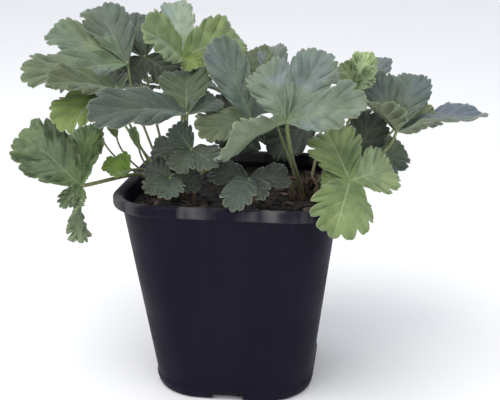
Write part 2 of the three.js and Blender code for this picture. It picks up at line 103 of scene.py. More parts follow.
# A stalk's sheath and its red blush: how much wider it is at the soil, and the heights
# at which both have fallen to a third. Then its groove, and its hub's share of the knob.
STALK = {"sheath": 1.1, "sheath_fall": 6, "blush_fall": 14, "groove": 0.3, "hub": 0.62}

# Shapes that many leaflets or stalks share.
SMALL = dict(bite=0.24)
TINY = dict(teeth=3, bite=0.24)
LOBED = dict(bite=0.25)
BACK = dict(droop=35)
TILTED = dict(droop=35, face=(0, -0.6, 0.8))
FACING = dict(face=(0, -0.8, 0.8))
UNDERSIDE = dict(face=(0.5, 0.8, 0.5))
SPRIG = dict(stem=0.7, knob=1.3)
OVER_RIM = dict(arch=0.5, rise=0, stand=0.35)


def leaf(tone_name, x, y, z, wide, *shapes, **more):
    """A leaflet's row: its tone, its tip, its half width at its widest, and its shape."""
    row = {**LEAF, "tone": tone_name, "tip": (x, y, z), "wide": wide}
    for shape in (*shapes, more):
        row.update(shape)
    return row


def frond(name, finish, crown, ring, hub, leaflets, **more):
    """A frond's row: its name and finish, the crown and ring that its stalk stands
    on, the hub where its leaflets meet, the leaflets, and the stalk's shape."""
    return {**FROND, "name": name, "finish": finish, "crown": crown, "ring": ring, "hub": hub,
            "leaflets": leaflets, **more}


FRONDS = [
    frond("frond_high_left", "leaf_mid", "left", 0, (-73, -5, 216), [
        leaf("slate", -105, 33, 248, 17, face=(0.2, -0.6, 1)),
        leaf("sage", -132, 12, 233, 16, face=(0, -0.7, 1)),
        leaf("sage", -129, -50, 211, 18, face=(0, -0.9, 1), droop=15),
    ]),
    frond("frond_mid_left", "leaf_yellow", "left", 1, (-73, -24, 201), [
        leaf("olive", -108, -62, 212, 14, face=(0, -0.8, 1)),
        leaf("lime", -102, -61, 182, 18, face=(-0.2, -0.8, 1), droop=45),
        leaf("olive", -92, 5, 206, 13),
    ]),
    frond("frond_behind_left", "leaf_mid", "left", 0, (-69, 25, 216), [
        leaf("slate", -95, 55, 236, 15, FACING),
        leaf("forest_shaded", -72, 66, 240, 17, FACING),
        leaf("forest_shaded", -80, 12, 199, 13, FACING),
        leaf("forest_shaded", -45, 22, 200, 13, FACING),
    ]),
    frond("frond_top", "leaf_yellow", "left", 0, (-39, 9, 218), [
        leaf("spring", -59, -20, 241, 19, face=(0.3, -0.8, 0.8)),
        leaf("spring", -4, 38, 228, 20, droop=50, face=(0.2, -0.9, 0.8)),
        leaf("mist", -52, 53, 251, 12, face=(0, -0.6, 1)),
        leaf("lime", -24, 0, 214, 9, FACING),
    ], ruffle=0.015),
    frond("frond_centre", "leaf_grey", "left", 0, (10, -13, 183), [
        leaf("steel", -17, 8, 232, 14, face=(0.1, -1, 0.6)),
        leaf("olive", -18, -44, 177, 16, face=(0, -0.8, 1)),
        leaf("steel", 20, 24, 188, 13, FACING),
    ]),
    frond("frond_inner_left", "leaf_mid", "left", 1, (-28, -32, 189), [
        leaf("fir", -36, 6, 210, 18, face=(0, -0.7, 1)),
        leaf("teal", -80, -72, 192, 18, face=(0, -0.8, 1), droop=45),
        leaf("forest_shaded", -12, -11, 195, 11, FACING),
    ]),
    frond("frond_front", "leaf_grey", "right", 1, (36, -37, 187), [
        leaf("pale", 18, 0, 217, 16, face=(-0.2, -1, 0.6)),
        leaf("pale", 55, 2, 226, 15, face=(0.2, -1, 0.6)),
        leaf("pale", 85, -61, 202, 19, face=(0.2, -0.9, 1)),
        leaf("mist", 0, -73, 171, 20, UNDERSIDE),
    ], ruffle=0.01, stem=1.3),
    frond("frond_right", "leaf_grey", "right", 0, (104, 1, 175), [
        leaf("haze", 163, 20, 182, 14, face=(0, -0.1, 1)),
        leaf("olive", 84, -26, 199, 19, face=(0.6, 0.7, 0.6)),
        leaf("steel", 114, 38, 206, 16, FACING),
        leaf("slate", 86, 30, 207, 13, FACING),
        leaf("olive", 130, 18, 183, 11, face=(0.1, 0.9, 0.3)),
    ], stem=1.2),
    frond("frond_young_ruffled", "leaf_yellow", "right", 0, (77, 9, 199), [
        leaf("pearl", 83, 22, 223, 9, FACING, wave=0.08),
        leaf("mint", 66, 2, 218, 8, FACING, wave=0.08),
        leaf("pearl", 90, 2, 214, 7, FACING, wave=0.08),
    ], ruffle=0.08, swing=-50),
    frond("frond_low_right", "leaf_mid", "right", 1, (76, 17, 146), [
        leaf("slate", 113, 31, 152, 16, FACING),
        leaf("forest_shaded", 91, 22, 182, 16, FACING),
        leaf("olive", 102, 0, 149, 10, FACING),
    ], **OVER_RIM),
    frond("frond_front_right", "leaf_bright", "right", 2, (76, -49, 154), [
        leaf("spring", 60, -18, 178, 18, LOBED, face=(0, -1, 0.7)),
        leaf("mint", 102, -28, 157, 17, LOBED, face=(0.3, -1, 0.8)),
        leaf("spring", 68, -85, 129, 20, LOBED, face=(0.2, -1, 0.6), droop=40),
        leaf("spring", 58, -42, 150, 9, FACING, SMALL),
    ], stem=1.2, **OVER_RIM),
    frond("frond_front_low", "leaf_grey", "right", 2, (14, -48, 152), [
        leaf("dark_shaded", -13, -38, 154, 10, FACING, SMALL),
        leaf("teal", 8, -80, 141, 11, FACING, SMALL, droop=45),
        leaf("dark_shaded", 26, -70, 146, 8, FACING, SMALL),
        leaf("dark_shaded", 38, -34, 150, 10, FACING, SMALL),
    ], **OVER_RIM),
    frond("frond_front_left", "leaf_mid", "left", 2, (-24, -40, 168), [
        leaf("forest_shaded", -4, -58, 162, 11, FACING, SMALL),
        leaf("forest_shaded", -28, -61, 158, 10, FACING, SMALL),
        leaf("forest_shaded", -52, -28, 165, 9, FACING, SMALL),
        leaf("teal", -37, -33, 182, 9, FACING, SMALL),
    ]),
    frond("frond_low_left", "leaf_grey", "left", 2, (-36, -48, 151), [
        leaf("forest_shaded", -54, -32, 154, 9, FACING, SMALL),
        leaf("teal", -33, -68, 143, 11, FACING, SMALL),
        leaf("dark_shaded", -17, -43, 146, 9, FACING, SMALL),
        leaf("forest_shaded", -48, -66, 146, 8, FACING, SMALL),
    ], **OVER_RIM),
    frond("frond_far_left", "leaf_mid", "left", 2, (-94, -50, 144), [
        leaf("moss", -133, -46, 178, 20, face=(0.1, -1, 0.8), wave=0.06),
        leaf("fern", -99, -15, 176, 13, face=(0.2, -1, 0.6)),
        leaf("moss", -87, -76, 115, 10, face=(0, -1, 0.3), twist=150, droop=15),
        leaf("moss", -102, -70, 136, 6, SMALL, face=(0.2, -1, 0.3)),
    ], ruffle=0.08, stem=1.3, **OVER_RIM),
    frond("frond_vivid", "leaf_bright", "left", 1, (-67, -34, 151), [
        leaf("vivid", -85, -30, 154, 7, FACING, TINY),
        leaf("vivid", -76, -23, 159, 6, FACING, TINY),
        leaf("vivid", -76, -46, 151, 6, FACING, TINY),
    ], **OVER_RIM),
    frond("young_leaf_hanging", "leaf_bright", "left", 2, (-88, -23, 173), [
        leaf("moss", -89, -11, 186, 4, FACING, TINY),
    ], **SPRIG),
    frond("young_leaf_folded", "leaf_yellow", "left", 0, (-60, -32, 166), [
        leaf("spring", -66, -26, 178, 4, FACING, TINY, fold=40),
    ], **SPRIG),
    frond("young_leaf_low", "leaf_yellow", "left", 1, (-77, -24, 171), [
        leaf("spring", -82, -21, 182, 4, FACING, TINY, fold=25),
    ], swing=-12, **SPRIG),
    frond("frond_edge_centre", "leaf_grey", "right", 0, (17, 29, 197), [
        leaf("haze", 16, 69, 219, 11, FACING),
        leaf("olive", -2, 64, 216, 14, FACING),
    ]),
    frond("frond_edge_right", "leaf_grey", "right", 0, (82, 42, 190), [
        leaf("haze", 91, 80, 211, 12, FACING),
        leaf("haze", 61, 78, 201, 13, FACING),
    ]),
    frond("frond_back_left", "leaf_mid", "left", 2, (-99, 45, 188), [
        leaf("slate", -140, 60, 186, 16, BACK),
        leaf("sage", -117, 86, 192, 18, BACK),
        leaf("slate", -78, 80, 184, 17, BACK),
    ]),
    frond("frond_back_mid_left", "leaf_mid", "left", 1, (-50, 56, 190), [
        leaf("sage", -84, 88, 190, 15, BACK),
        leaf("moss", -57, 104, 194, 19, BACK),
        leaf("slate", -24, 84, 182, 16, BACK),
    ]),
    frond("frond_back_middle", "leaf_mid", "left", 2, (-3, 60, 176), [
        leaf("forest_shaded", -36, 74, 166, 16, TILTED),
        leaf("sage", -8, 106, 178, 18, BACK),
        leaf("forest_shaded", 24, 82, 176, 16, TILTED),
        leaf("forest_shaded", -9, 50, 143, 20, FACING),
    ]),
    frond("frond_back_right", "leaf_mid", "right", 1, (52, 60, 172), [
        leaf("sage", 34, 98, 170, 16, BACK),
        leaf("moss", 58, 108, 176, 18, BACK),
        leaf("slate", 82, 86, 170, 16, BACK),
        leaf("forest_shaded", 14, 52, 144, 20, FACING),
    ]),
    frond("frond_back_far_right", "leaf_mid", "right", 2, (104, 54, 166), [
        leaf("slate", 134, 74, 166, 16, BACK),
        leaf("sage", 108, 96, 168, 18, BACK),
    ], stand=0.3, rise=0.2),
]

# How pale the veins of each finish are, and how strong its yellower and bluer clouds.
FINISH = {"leaf_mid": (0.12, 0.7), "leaf_yellow": (0.2, 0.45), "leaf_grey": (0.07, 0.85),
          "leaf_bright": (0.34, 0.35)}
# The darkest greens, night and forest, are partly painted shade: they darken the leaflets deep inside and
# behind the plant, where shade falls.
TONES = {
    "dark_shaded": (0.125, 0.155, 0.14), "forest_shaded": (0.18, 0.22, 0.18), "teal": (0.21, 0.265, 0.245),
    "fir": (0.22, 0.27, 0.15), "slate": (0.27, 0.32, 0.27), "steel": (0.30, 0.35, 0.32),
    "olive": (0.30, 0.34, 0.21), "sage": (0.35, 0.41, 0.33), "moss": (0.36, 0.43, 0.27),
    "haze": (0.37, 0.40, 0.42), "pale": (0.40, 0.45, 0.39), "lime": (0.42, 0.49, 0.22),
    "spring": (0.42, 0.49, 0.29), "mint": (0.48, 0.54, 0.37), "mist": (0.49, 0.55, 0.48),
    "vivid": (0.47, 0.59, 0.19), "fern": (0.50, 0.60, 0.42), "pearl": (0.58, 0.65, 0.48),
    "stalk": (0.50, 0.55, 0.36), "blush": (0.42, 0.30, 0.22), "bark": (0.25, 0.20, 0.17),
    "rose": (0.42, 0.34, 0.29),
}


def tone(name):
    """A tone as linear light, from the values that a colour picker shows."""
    value = np.array(TONES[name])
    return np.where(value < 0.04045, value / 12.92, ((value + 0.055) / 1.055) ** 2.4)


# ---- settings ---------------------------------------------------------------

def length_prop(name, description, millimetres):
    """A setting for a length."""
    return FloatProperty(name=name, description=description, default=millimetres * MM, min=0,
                         unit="LENGTH", precision=5)


def share_prop(name, description, default, most):
    """A setting for a share of some other size."""
    return FloatProperty(name=name, description=description, default=default, min=0, max=most,
                         subtype="FACTOR")


def count_prop(name, description, default, least=0, most=10000):
    """A setting for a number of things."""
    return IntProperty(name=name, description=description, default=default, min=least, max=most)


def colour_prop(name, description, default):
    """A setting for a colour, in linear light."""
    return FloatVectorProperty(name=name, description=description, default=default, min=0, max=1,
                               subtype="COLOR")


def power_prop(name, description, watts):
    """A setting for the power of a lamp."""
    return FloatProperty(name=name, description=description, default=watts, min=0, unit="POWER")


class LeafSettings(bpy.types.PropertyGroup):
    """Sizes and finish of the leaflets."""

    thickness: length_prop("Thickness", "Thickness of a blade between its veins", 0.5)
    fine_teeth: count_prop("Fine teeth", "Small teeth on each of the large ones", 2, 1, 5)
    fine_bite: share_prop("Fine bite", "Depth of the cuts between small teeth, along a vein", 0.055, 0.3)
    rows: count_prop("Rows a tooth", "Rows of faces across each tooth", 21, 6, 40)
    columns: count_prop("Columns", "Columns of faces from midrib to margin", 10, 4, 20)
    rumple: share_prop("Rumple", "Height of a blade's bumps, as a share of its length", 0.035, 0.2)
    pleat: share_prop("Pleat", "Height of the folds between veins, over the half width", 0.115, 0.3)
    groove: length_prop("Groove", "Depth of a vein on the upper face", 0.2)
    ridge: length_prop("Ridge", "Height of a vein on the lower face", 0.3)
    vein_colour: colour_prop("Vein colour", "Colour that the veins lean towards", (0.42, 0.50, 0.30))
    underside_colour: colour_prop(
        "Underside colour", "Colour that the lower faces lean towards", (0.20, 0.24, 0.13))
    bloom_colour: colour_prop("Bloom colour", "Colour of the waxy bloom at a slant", (0.62, 0.68, 0.72))


class StalkSettings(bpy.types.PropertyGroup):
    """Sizes of the stalks and their hairs."""

    sides: count_prop("Sides", "Faces round a stalk", 10, 5, 24)
    rings: count_prop("Rings", "Rings along a stalk", 36, 8, 120)
    hairs: FloatProperty(
        name="Hairs", description="Hairs on each millimetre of stalk", default=3.0, min=0, max=20)
    hair_length: length_prop("Hair length", "Length of the longest hairs", 1.1)
    sheath_length: length_prop("Sheath length", "Length of the papery lobes at a stalk's foot", 8)


class SoilSettings(bpy.types.PropertyGroup):
    """What lies on the soil, and its colours."""

    crumb_height: length_prop("Crumb height", "Height of the crumbs in the surface itself", 1.1)
    clods: count_prop("Clods", "Loose clods on the surface", 520)
    chips: count_prop("Chips", "Chips of bark on the surface", 60)
    rootlets: count_prop("Rootlets", "Fibres on the surface", 36)
    colour: colour_prop("Soil colour", "Colour of the moist soil", (0.012, 0.0095, 0.0085))
    chip_colour: colour_prop("Chip colour", "Colour of the bark chips", (0.17, 0.105, 0.085))
    rootlet_colour: colour_prop("Rootlet colour", "Colour of the fibres", (0.30, 0.20, 0.13))


class PotSettings(bpy.types.PropertyGroup):
    """Fineness and finish of the container."""

    corner_steps: count_prop("Corner steps", "Faces round each corner", 18, 4, 64)
    edge_radius: length_prop("Edge radius", "Rounding of the moulded edges", 1.6)
    colour: colour_prop("Plastic colour", "Colour of the moulded plastic", (0.0045, 0.0036, 0.0108))
    # The dust colour also paints the highlight streaks on the rim band.
    dust_colour: colour_prop("Dust colour", "Colour of the dry dust on the rim", (0.16, 0.15, 0.15))


class StageSettings(bpy.types.PropertyGroup):
    """Floor and light."""

    floor_half: length_prop("Floor", "Half the width of the floor", 6000)
    floor_colour: colour_prop("Floor colour", "Colour of the floor", (0.90, 0.90, 0.91))
    sky: FloatProperty(
        name="Sky", description="Strength of the even light from all round", default=0.95, min=0)
    key: power_prop("Key light", "Power of the large light overhead", 18.0)
    fill: power_prop("Fill light", "Power of the light beside the camera", 5.0)


class PlantSettings(bpy.types.PropertyGroup):
    """All settings of the plant."""

    leaf: PointerProperty(type=LeafSettings)
    stalk: PointerProperty(type=StalkSettings)
    soil: PointerProperty(type=SoilSettings)
    pot: PointerProperty(type=PotSettings)
    stage: PointerProperty(type=StageSettings)


# ---- shapes -----------------------------------------------------------------

def unit(vectors):
    """Vectors of length 1 in the same directions."""
    return vectors / np.linalg.norm(vectors, axis=-1, keepdims=True)


def lattice_noise(points, seed, octaves=1):
    """Smooth noise of about -1 to 1: random values on a cubic lattice with a
    spacing of 1, blended by smooth steps. Each further octave has half the
    spacing and half the height."""
    size = 32
    lattice = np.random.default_rng(seed).uniform(-1, 1, (size, size, size))
    total = np.zeros(points.shape[:-1])
    for octave in range(octaves):
        scaled = points * 2 ** octave
        cell = np.floor(scaled).astype(int)
        step = scaled - cell
        step = step * step * (3 - 2 * step)
        for corner in np.ndindex(2, 2, 2):
            weight = np.prod(np.where(np.array(corner) == 1, step, 1 - step), axis=-1)
            index = np.moveaxis((cell + corner) % size, -1, 0)
            total += weight * lattice[tuple(index)] / 2 ** octave
    return total


def grid_faces(index):
    """Four-sided faces between the neighbouring rows and columns of a grid of
    point numbers, facing along rows x columns."""
    corners = [index[:-1, :-1], index[1:, :-1], index[1:, 1:], index[:-1, 1:]]
    return np.stack(corners, -1).reshape(-1, 4)


def point_normals(points, faces):
    """For each point, the summed normals of the faces round it, at length 1."""
    across = points[faces[:, 2]] - points[faces[:, 0]]
    along = points[faces[:, 3]] - points[faces[:, 1]]
    normals = np.zeros_like(points)
    for corner in range(4):
        np.add.at(normals, faces[:, corner], np.cross(across, along))
    return unit(normals + 1e-12)


def shell(points, index, rim, above, below):
    """A closed thin body: the surface lifted by `above` along its normals, the
    same surface sunk by `below`, and a wall round the loop of points `rim`.
    Gives the points and the faces."""
    faces = grid_faces(index)
    normals = point_normals(points, faces)
    count = len(points)
    upper = points + normals * above[:, None]
    lower = points - normals * below[:, None]
    ahead = np.roll(rim, -1)
    wall = np.stack([rim, ahead, ahead + count, rim + count], -1)
    return np.concatenate([upper, lower]), np.concatenate([faces, faces[:, ::-1] + count, wall])


def edge_loop(index):
    """The loop of point numbers round a grid, in the order that shell() needs."""
    return np.concatenate([index[:-1, -1], index[-1, :0:-1], index[:0:-1, 0], index[0, :-1]])


def tube(path, radius, sides, sideways, section=1.0):
    """A closed tube: on each point of the path stands a ring of the given radius,
    square to the path, and each end is closed by a point. `sideways` is any
    direction across the path, where the ring starts, and `section` scales the
    ring's spokes one by one. Gives the points and the faces."""
    along = unit(np.gradient(path, axis=0))
    first = unit(sideways - np.sum(sideways * along, -1, keepdims=True) * along)
    second = np.cross(along, first)
    turn = np.arange(sides) / sides * 2 * np.pi
    spokes = np.cos(turn)[:, None] * first[:, None] + np.sin(turn)[:, None] * second[:, None]
    reach = np.broadcast_to(radius, (len(path),))[:, None] * np.broadcast_to(section, (sides,))
    rings = path[:, None] + spokes * reach[..., None]
    index = np.arange(len(path) * sides).reshape(len(path), sides)
    index = np.concatenate([index, index[:, :1]], 1)
    ends = len(path) * sides + np.arange(2)
    start = np.stack([index[0, 1:], index[0, :-1], np.full(sides, ends[0])], -1)
    finish = np.stack([index[-1, :-1], index[-1, 1:], np.full(sides, ends[1])], -1)
    points = np.concatenate([rings.reshape(-1, 3), path[:1], path[-1:]])
    return points, [grid_faces(index)[:, ::-1], start, finish]


def spikes(roots, directions, lengths, width):
    """Fine hairs: on each root a slim pyramid with a three-sided base. Gives the
    points and the faces."""
    sideways = unit(np.cross(directions, (0.31, 0.52, 0.79)))
    upright = np.cross(directions, sideways)
    turn = np.arange(3) / 3 * 2 * np.pi
    base = (np.cos(turn)[:, None] * sideways[:, None] + np.sin(turn)[:, None] * upright[:, None]) * width
    tips = (roots + directions * lengths[:, None])[:, None]
    points = np.concatenate([roots[:, None] + base, tips], 1).reshape(-1, 3)
    faces = np.array([(0, 2, 1), (0, 1, 3), (1, 2, 3), (2, 0, 3)])
    return points, [(np.arange(len(roots))[:, None, None] * 4 + faces).reshape(-1, 3)]


def lumps(centres, sizes, turns, seed, boxy=1.0, rough=0.25, rows=5, columns=8):
    """Rounded lumps, each a ball stretched by its three sizes, with its surface
    pushed in and out by noise and its coordinates raised to the power `boxy`,
    which squares it when below 1. It is turned about the upright axis by the
    first of its two turns, and then tipped by the second. Gives the points and the
    faces."""
    polar = np.linspace(0, np.pi, rows + 2)[1:-1]
    round_ = np.arange(columns) / columns * 2 * np.pi
    ball = np.stack([np.sin(polar)[:, None] * np.cos(round_), np.sin(polar)[:, None] * np.sin(round_),
                     np.broadcast_to(np.cos(polar)[:, None], (rows, columns))], -1).reshape(-1, 3)
    ball = np.concatenate([ball, [(0, 0, 1), (0, 0, -1)]])
    shape = np.sign(ball) * np.abs(ball) ** boxy
    bumps = lattice_noise(ball[None] * 1.3 + centres[:, None] * 3.7, seed)
    local = shape[None] * sizes[:, None] * (1 + rough * bumps[..., None])
    spin, tip = turns[:, 0, None], turns[:, 1, None]
    x = local[..., 0] * np.cos(spin) - local[..., 1] * np.sin(spin)
    y = local[..., 0] * np.sin(spin) + local[..., 1] * np.cos(spin)
    z = local[..., 2]
    tipped = np.stack([x * np.cos(tip) + z * np.sin(tip), y, z * np.cos(tip) - x * np.sin(tip)], -1)
    points = centres[:, None] + tipped
    index = np.arange(rows * columns).reshape(rows, columns)
    index = np.concatenate([index, index[:, :1]], 1)
    top = np.stack([index[0, :-1], index[0, 1:], np.full(columns, rows * columns)], -1)
    bottom = np.stack([index[-1, 1:], index[-1, :-1], np.full(columns, rows * columns + 1)], -1)
    shift = np.arange(len(centres))[:, None, None] * len(ball)
    faces = [(shift + part).reshape(-1, part.shape[1]) for part in (grid_faces(index), top, bottom)]
    return points.reshape(-1, 3), faces


class Parts:
    """Closed surfaces gathered for one mesh. Each point has three vectors of its
    own: `colour` is its colour, `blade` its nearness to a vein, to the midrib and
    whether it is on the underside, and `growth` its share of the way to the
    margin, its share of the way to the tip and a random number."""

    VALUES = ("colour", "blade", "growth")

    def __init__(self):
        self.points, self.faces, self.materials = [], [], []
        self.values = {name: [] for name in self.VALUES}
        self.count = 0

    def add(self, points, faces, material=0, **values):
        """Takes in one surface, with its points' values by name. Faces with
        different numbers of corners come as a list of arrays."""
        for rows in faces if isinstance(faces, list) else [faces]:
            self.faces.append(rows + self.count)
            self.materials.append(np.full(len(rows), material))
        for name in self.VALUES:
            self.values[name].append(np.broadcast_to(values.get(name, 0.0), points.shape))
        self.points.append(points)
        self.count += len(points)

    def build(self, name, materials, nodes):
        """Makes the mesh, in metres, as a piece that stands for the nodes."""
        mesh = bpy.data.meshes.new(name)
        corners = np.concatenate([rows.ravel() for rows in self.faces])
        sizes = np.concatenate([np.full(len(rows), rows.shape[1]) for rows in self.faces])
        mesh.vertices.add(self.count)
        mesh.vertices.foreach_set("co", (np.concatenate(self.points) * MM).ravel())
        mesh.loops.add(len(corners))
        mesh.loops.foreach_set("vertex_index", corners.astype(np.int32))
        mesh.polygons.add(len(sizes))
        mesh.polygons.foreach_set("loop_start", (np.cumsum(sizes) - sizes).astype(np.int32))
        mesh.polygons.foreach_set("material_index", np.concatenate(self.materials).astype(np.int32))
        mesh.polygons.foreach_set("use_smooth", np.ones(len(sizes), bool))
        for value in self.VALUES:
            vectors = np.concatenate(self.values[value]).astype(np.float32)
            mesh.attributes.new(value, "FLOAT_VECTOR", "POINT").data.foreach_set("vector", vectors.ravel())
        for material in materials:
            mesh.materials.append(material)
        mesh.update(calc_edges=True)
        piece = bpy.data.objects.new(name, mesh)
        bpy.context.scene.collection.objects.link(piece)
        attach(piece, "root")
        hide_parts(*nodes)
        return piece


# ---- leaflets ---------------------------------------------------------------

def leaf_axes(hub, row):
    """The leaflet's length, and its directions ahead, up and left, square to each
    other: ahead runs from the hub to the tip, and up is where it faces."""
    ahead = np.array(row["tip"], float) - hub
    length = np.linalg.norm(ahead)
    ahead = ahead / length
    up = np.array(row["face"], float)
    up = unit(up - up.dot(ahead) * ahead)
    return length, ahead, up, np.cross(up, ahead)


def tooth_cut(a, teeth, depths, settings):
    """Depth of the cuts between teeth: nothing on a tooth's tip, `depths` in the
    notches beside it, and a slope that is steeper on the tooth's outer side.
    Each large tooth carries small ones. The wedge at the blade's base has none."""
    place = a + 0.5
    part = (place - np.floor(place)) ** TOOTH["lean"]
    chosen = depths[np.clip(np.floor(a + 1e-9).astype(int), 0, teeth - 1)]
    fine = 1 - np.abs(np.sin(np.pi * settings.fine_teeth * part)) ** TOOTH["fine_round"]
    cut = chosen * (1 - np.sin(np.pi * part) ** TOOTH["round"]) + settings.fine_bite * fine
    return cut * np.clip((a / teeth - BLADE["bare"]) / BLADE["onset"], 0, 1)


def blade_surface(hub, row, ruffle, settings, rng):
    """The middle surface of one blade and what lies where on it.

    Tooth coordinate a runs from the base (0) to the tip (teeth), and s from the
    right margin (-1) over the midrib (0) to the left margin (1). The margin
    lies sin(a / teeth * 90 degrees) ** 0.95 of the way along, and its half
    width there is along * sqrt(1 - along), scaled to 1 at its widest. Each
    line of equal a is a vein, which leaves the midrib 0.8 * (a / teeth) ** 1.2
    of the way along. The blade is arched along its length, folded about its
    midrib and twisted. It is lifted by a wave, a frill along its margins, pleats
    between its veins, and bumps and finer ruffles of smooth noise."""
    teeth = row["teeth"]
    length, ahead, up, left = leaf_axes(hub, row)
    wide = row["wide"]
    a = np.linspace(0, teeth, teeth * settings.rows + 1)[:, None]
    k = np.linspace(-1, 1, 2 * settings.columns + 1)[None]
    s = np.sign(k) * np.abs(k) ** 1.2
    r, side = np.abs(s), np.where(s < 0, -1.0, 1.0)
    share = a / teeth
    edge = np.sin(share * np.pi / 2) ** 0.95
    peak = BLADE["widest"] * math.sqrt(1 - BLADE["widest"])
    half = edge * np.sqrt(np.clip(1 - edge, 0, None)) / peak
    root = BLADE["vein_reach"] * share ** 1.2
    depths = row["bite"] * rng.uniform(0.4, 1.5, (2, teeth))
    cuts = np.where(side < 0, *(tooth_cut(a, teeth, margin, settings) for margin in depths))
    reach = r * (1 - cuts)
    along = root + (edge - root) * reach
    across = reach * (wide * half + BLADE["base_half"] * (1 - share) ** 3)

    droop, fold = math.radians(row["droop"]), math.radians(row["fold"])
    turn = droop * (along - 0.5)
    twist = math.radians(row["twist"]) * along
    scale = length / 2 / math.sin(droop / 2)
    tangent_up = up * np.cos(turn)[..., None] + ahead * np.sin(turn)[..., None]
    raised = tangent_up * np.cos(twist)[..., None] - left * np.sin(twist)[..., None]
    sideways = left * np.cos(twist)[..., None] + tangent_up * np.sin(twist)[..., None]
    fade = np.minimum(1, across / wide * 2)
    wave = row["wave"] * length * r * r * np.sin(2 * np.pi * row["waves"] * along + side * 0.8)
    phase = rng.uniform(0, 2 * np.pi, 2)[np.where(side < 0, 0, 1)]
    frill = FRILL["height"] * length * r ** 3 * np.sin(2 * np.pi * FRILL["count"] * along + phase)
    pleat = settings.pleat * wide * np.abs(np.sin(np.pi * a)) ** 0.8 * r * (1.5 - r) * 1.8
    places = np.stack([along * BUMPS["along"] + rng.uniform(0, 30),
                       side * across / wide * BUMPS["across"] + 0 * along, 0 * along], -1)
    rumple = settings.rumple * length * lattice_noise(places, 17)
    crinkle = ruffle * length * lattice_noise(places * BUMPS["finer"], 18, 2)
    lift = across * math.sin(fold) + (wave + frill + pleat + rumple + crinkle) * fade
    points = (hub + ahead * (length / 2 + scale * np.sin(turn))[..., None]
              + up * (scale * (np.cos(turn) - math.cos(droop / 2)))[..., None]
              + sideways * (side * across * math.cos(fold))[..., None] + raised * lift[..., None])

    spacing = np.linalg.norm(np.gradient(points, a[:, 0], axis=0), axis=-1)
    vein = np.abs(a - np.round(a)) * spacing / (VEIN["end"] + VEIN["more"] * (1 - r))
    vein = np.where((a < 0.5) | (a > teeth - 0.2), 4.0, vein)
    rib = across / (VEIN["rib_end"] + VEIN["rib_more"] * (1 - along))
    near = np.stack([np.clip(vein, 0, 4), np.clip(rib, 0, 4)], -1)
    return points, near, np.stack([np.broadcast_to(r, along.shape), along], -1)


def add_leaflet(parts, hub, row, ruffle, settings, rng):
    """One blade as a closed thin body, with its veins sunk into the upper face
    and raised on the lower one."""
    points, near, place = blade_surface(hub, row, ruffle, settings, rng)
    rows, width = points.shape[:2]
    columns = width // 2
    index = np.arange(rows * width).reshape(rows, width)
    index[-1, :columns] = index[-1, :columns:-1]          # both halves meet beyond the last vein
    used, index = np.unique(index, return_inverse=True)
    index = index.reshape(rows, width)
    points = points.reshape(-1, 3)[used]
    near, place = near.reshape(-1, 2)[used], place.reshape(-1, 2)[used]
    vein, rib = np.exp(-near ** 2).T
    margin, tip = place.T
    half = settings.thickness / MM / 2
    sunk = settings.groove / MM * np.maximum(vein, 1.5 * rib)
    raised = settings.ridge / MM * np.maximum(vein * (1 - 0.6 * margin), rib * (2.4 - 1.8 * tip))
    rim = np.concatenate([index[:, -1], index[-2::-1, 0], index[0, 1:-1]])
    body, faces = shell(points, index, rim, half - sunk, half + raised)
    under = np.repeat([0.0, 1.0], len(points))
    random = np.full(len(body), rng.uniform())
    shade = rng.uniform(0.9, 1.1)
    parts.add(body, faces, colour=tone(row["tone"]) * shade,
              blade=np.column_stack([np.tile(near, (2, 1)), under]),
              growth=np.column_stack([np.tile(place, (2, 1)), random]))


# ---- stalks -----------------------------------------------------------------

def stalk_foot(row):
    """Where the stalk leaves the soil: on a ring round its crown, towards its hub."""
    x, y = CROWN[row["crown"]]["at"]
    heading = math.atan2(row["hub"][1] - y, row["hub"][0] - x) + math.radians(row["swing"])
    away = RINGS[row["ring"]]
    return np.array([x + away * math.cos(heading), y + away * math.sin(heading), SOIL_TOP])


def arch_path(foot, hub, row, count):
    """An upright foot in the soil, then a cubic Bezier curve from just above the
    soil to the hub. `stand` is how far it rises upright, `rise` how steeply it
    comes up to the hub, and `arch` how far it leans over there."""
    bottom, top = foot - (0, 0, FOOT["depth"]), foot + (0, 0, FOOT["above"])
    hub = np.array(hub, float)
    reach = np.linalg.norm(hub - top)
    lean = (hub - top) * (1, 1, 0) * row["arch"]
    end = hub - lean - (0, 0, reach * row["rise"])
    start = top + (0, 0, reach * row["stand"])
    t = np.linspace(0, 1, count)[:, None]
    curve = (1 - t) ** 3 * top + 3 * (1 - t) ** 2 * t * start + 3 * (1 - t) * t ** 2 * end + t ** 3 * hub
    return np.concatenate([[bottom, (bottom + top) / 2], curve])


def add_stalk(parts, row, settings, rng):
    """A stalk that widens into a sheath at its foot, is grooved on its upper side
    and blushes red towards the soil, with its hub, lobes and hairs."""
    path = arch_path(stalk_foot(row), row["hub"], row, settings.rings)
    height = np.clip(path[:, 2] - SOIL_TOP, 0, None)
    radius = row["stem"] * (1.0 + STALK["sheath"] * np.exp(-height / STALK["sheath_fall"]))
    outward = path[-1] - path[0]
    sideways = unit(np.cross((0, 0, 1), outward * (1, 1, 0.001)))
    turn = np.arange(settings.sides) / settings.sides * 2 * np.pi
    section = 1 - STALK["groove"] * np.clip(np.cos(turn + np.pi / 2), 0, 1) ** 6
    points, faces = tube(path, radius, settings.sides, sideways, section)
    blush = np.exp(-np.clip(points[:, 2:] - SOIL_TOP, 0, None) / STALK["blush_fall"])
    colour = tone("stalk") * (1 - blush) + tone("blush") * blush
    parts.add(points, faces, material=1, colour=colour, growth=rng.uniform())
    knob = np.full((1, 3), row["knob"] * STALK["hub"])
    points, faces = lumps(path[-1:], knob, np.zeros((1, 2)), seed=3, rough=0.1)
    parts.add(points, faces, material=1, colour=tone("stalk"))
    add_lobes(parts, path, radius[2], settings, rng)
    add_hairs(parts, path[2:], radius[2:], sideways, settings, rng)


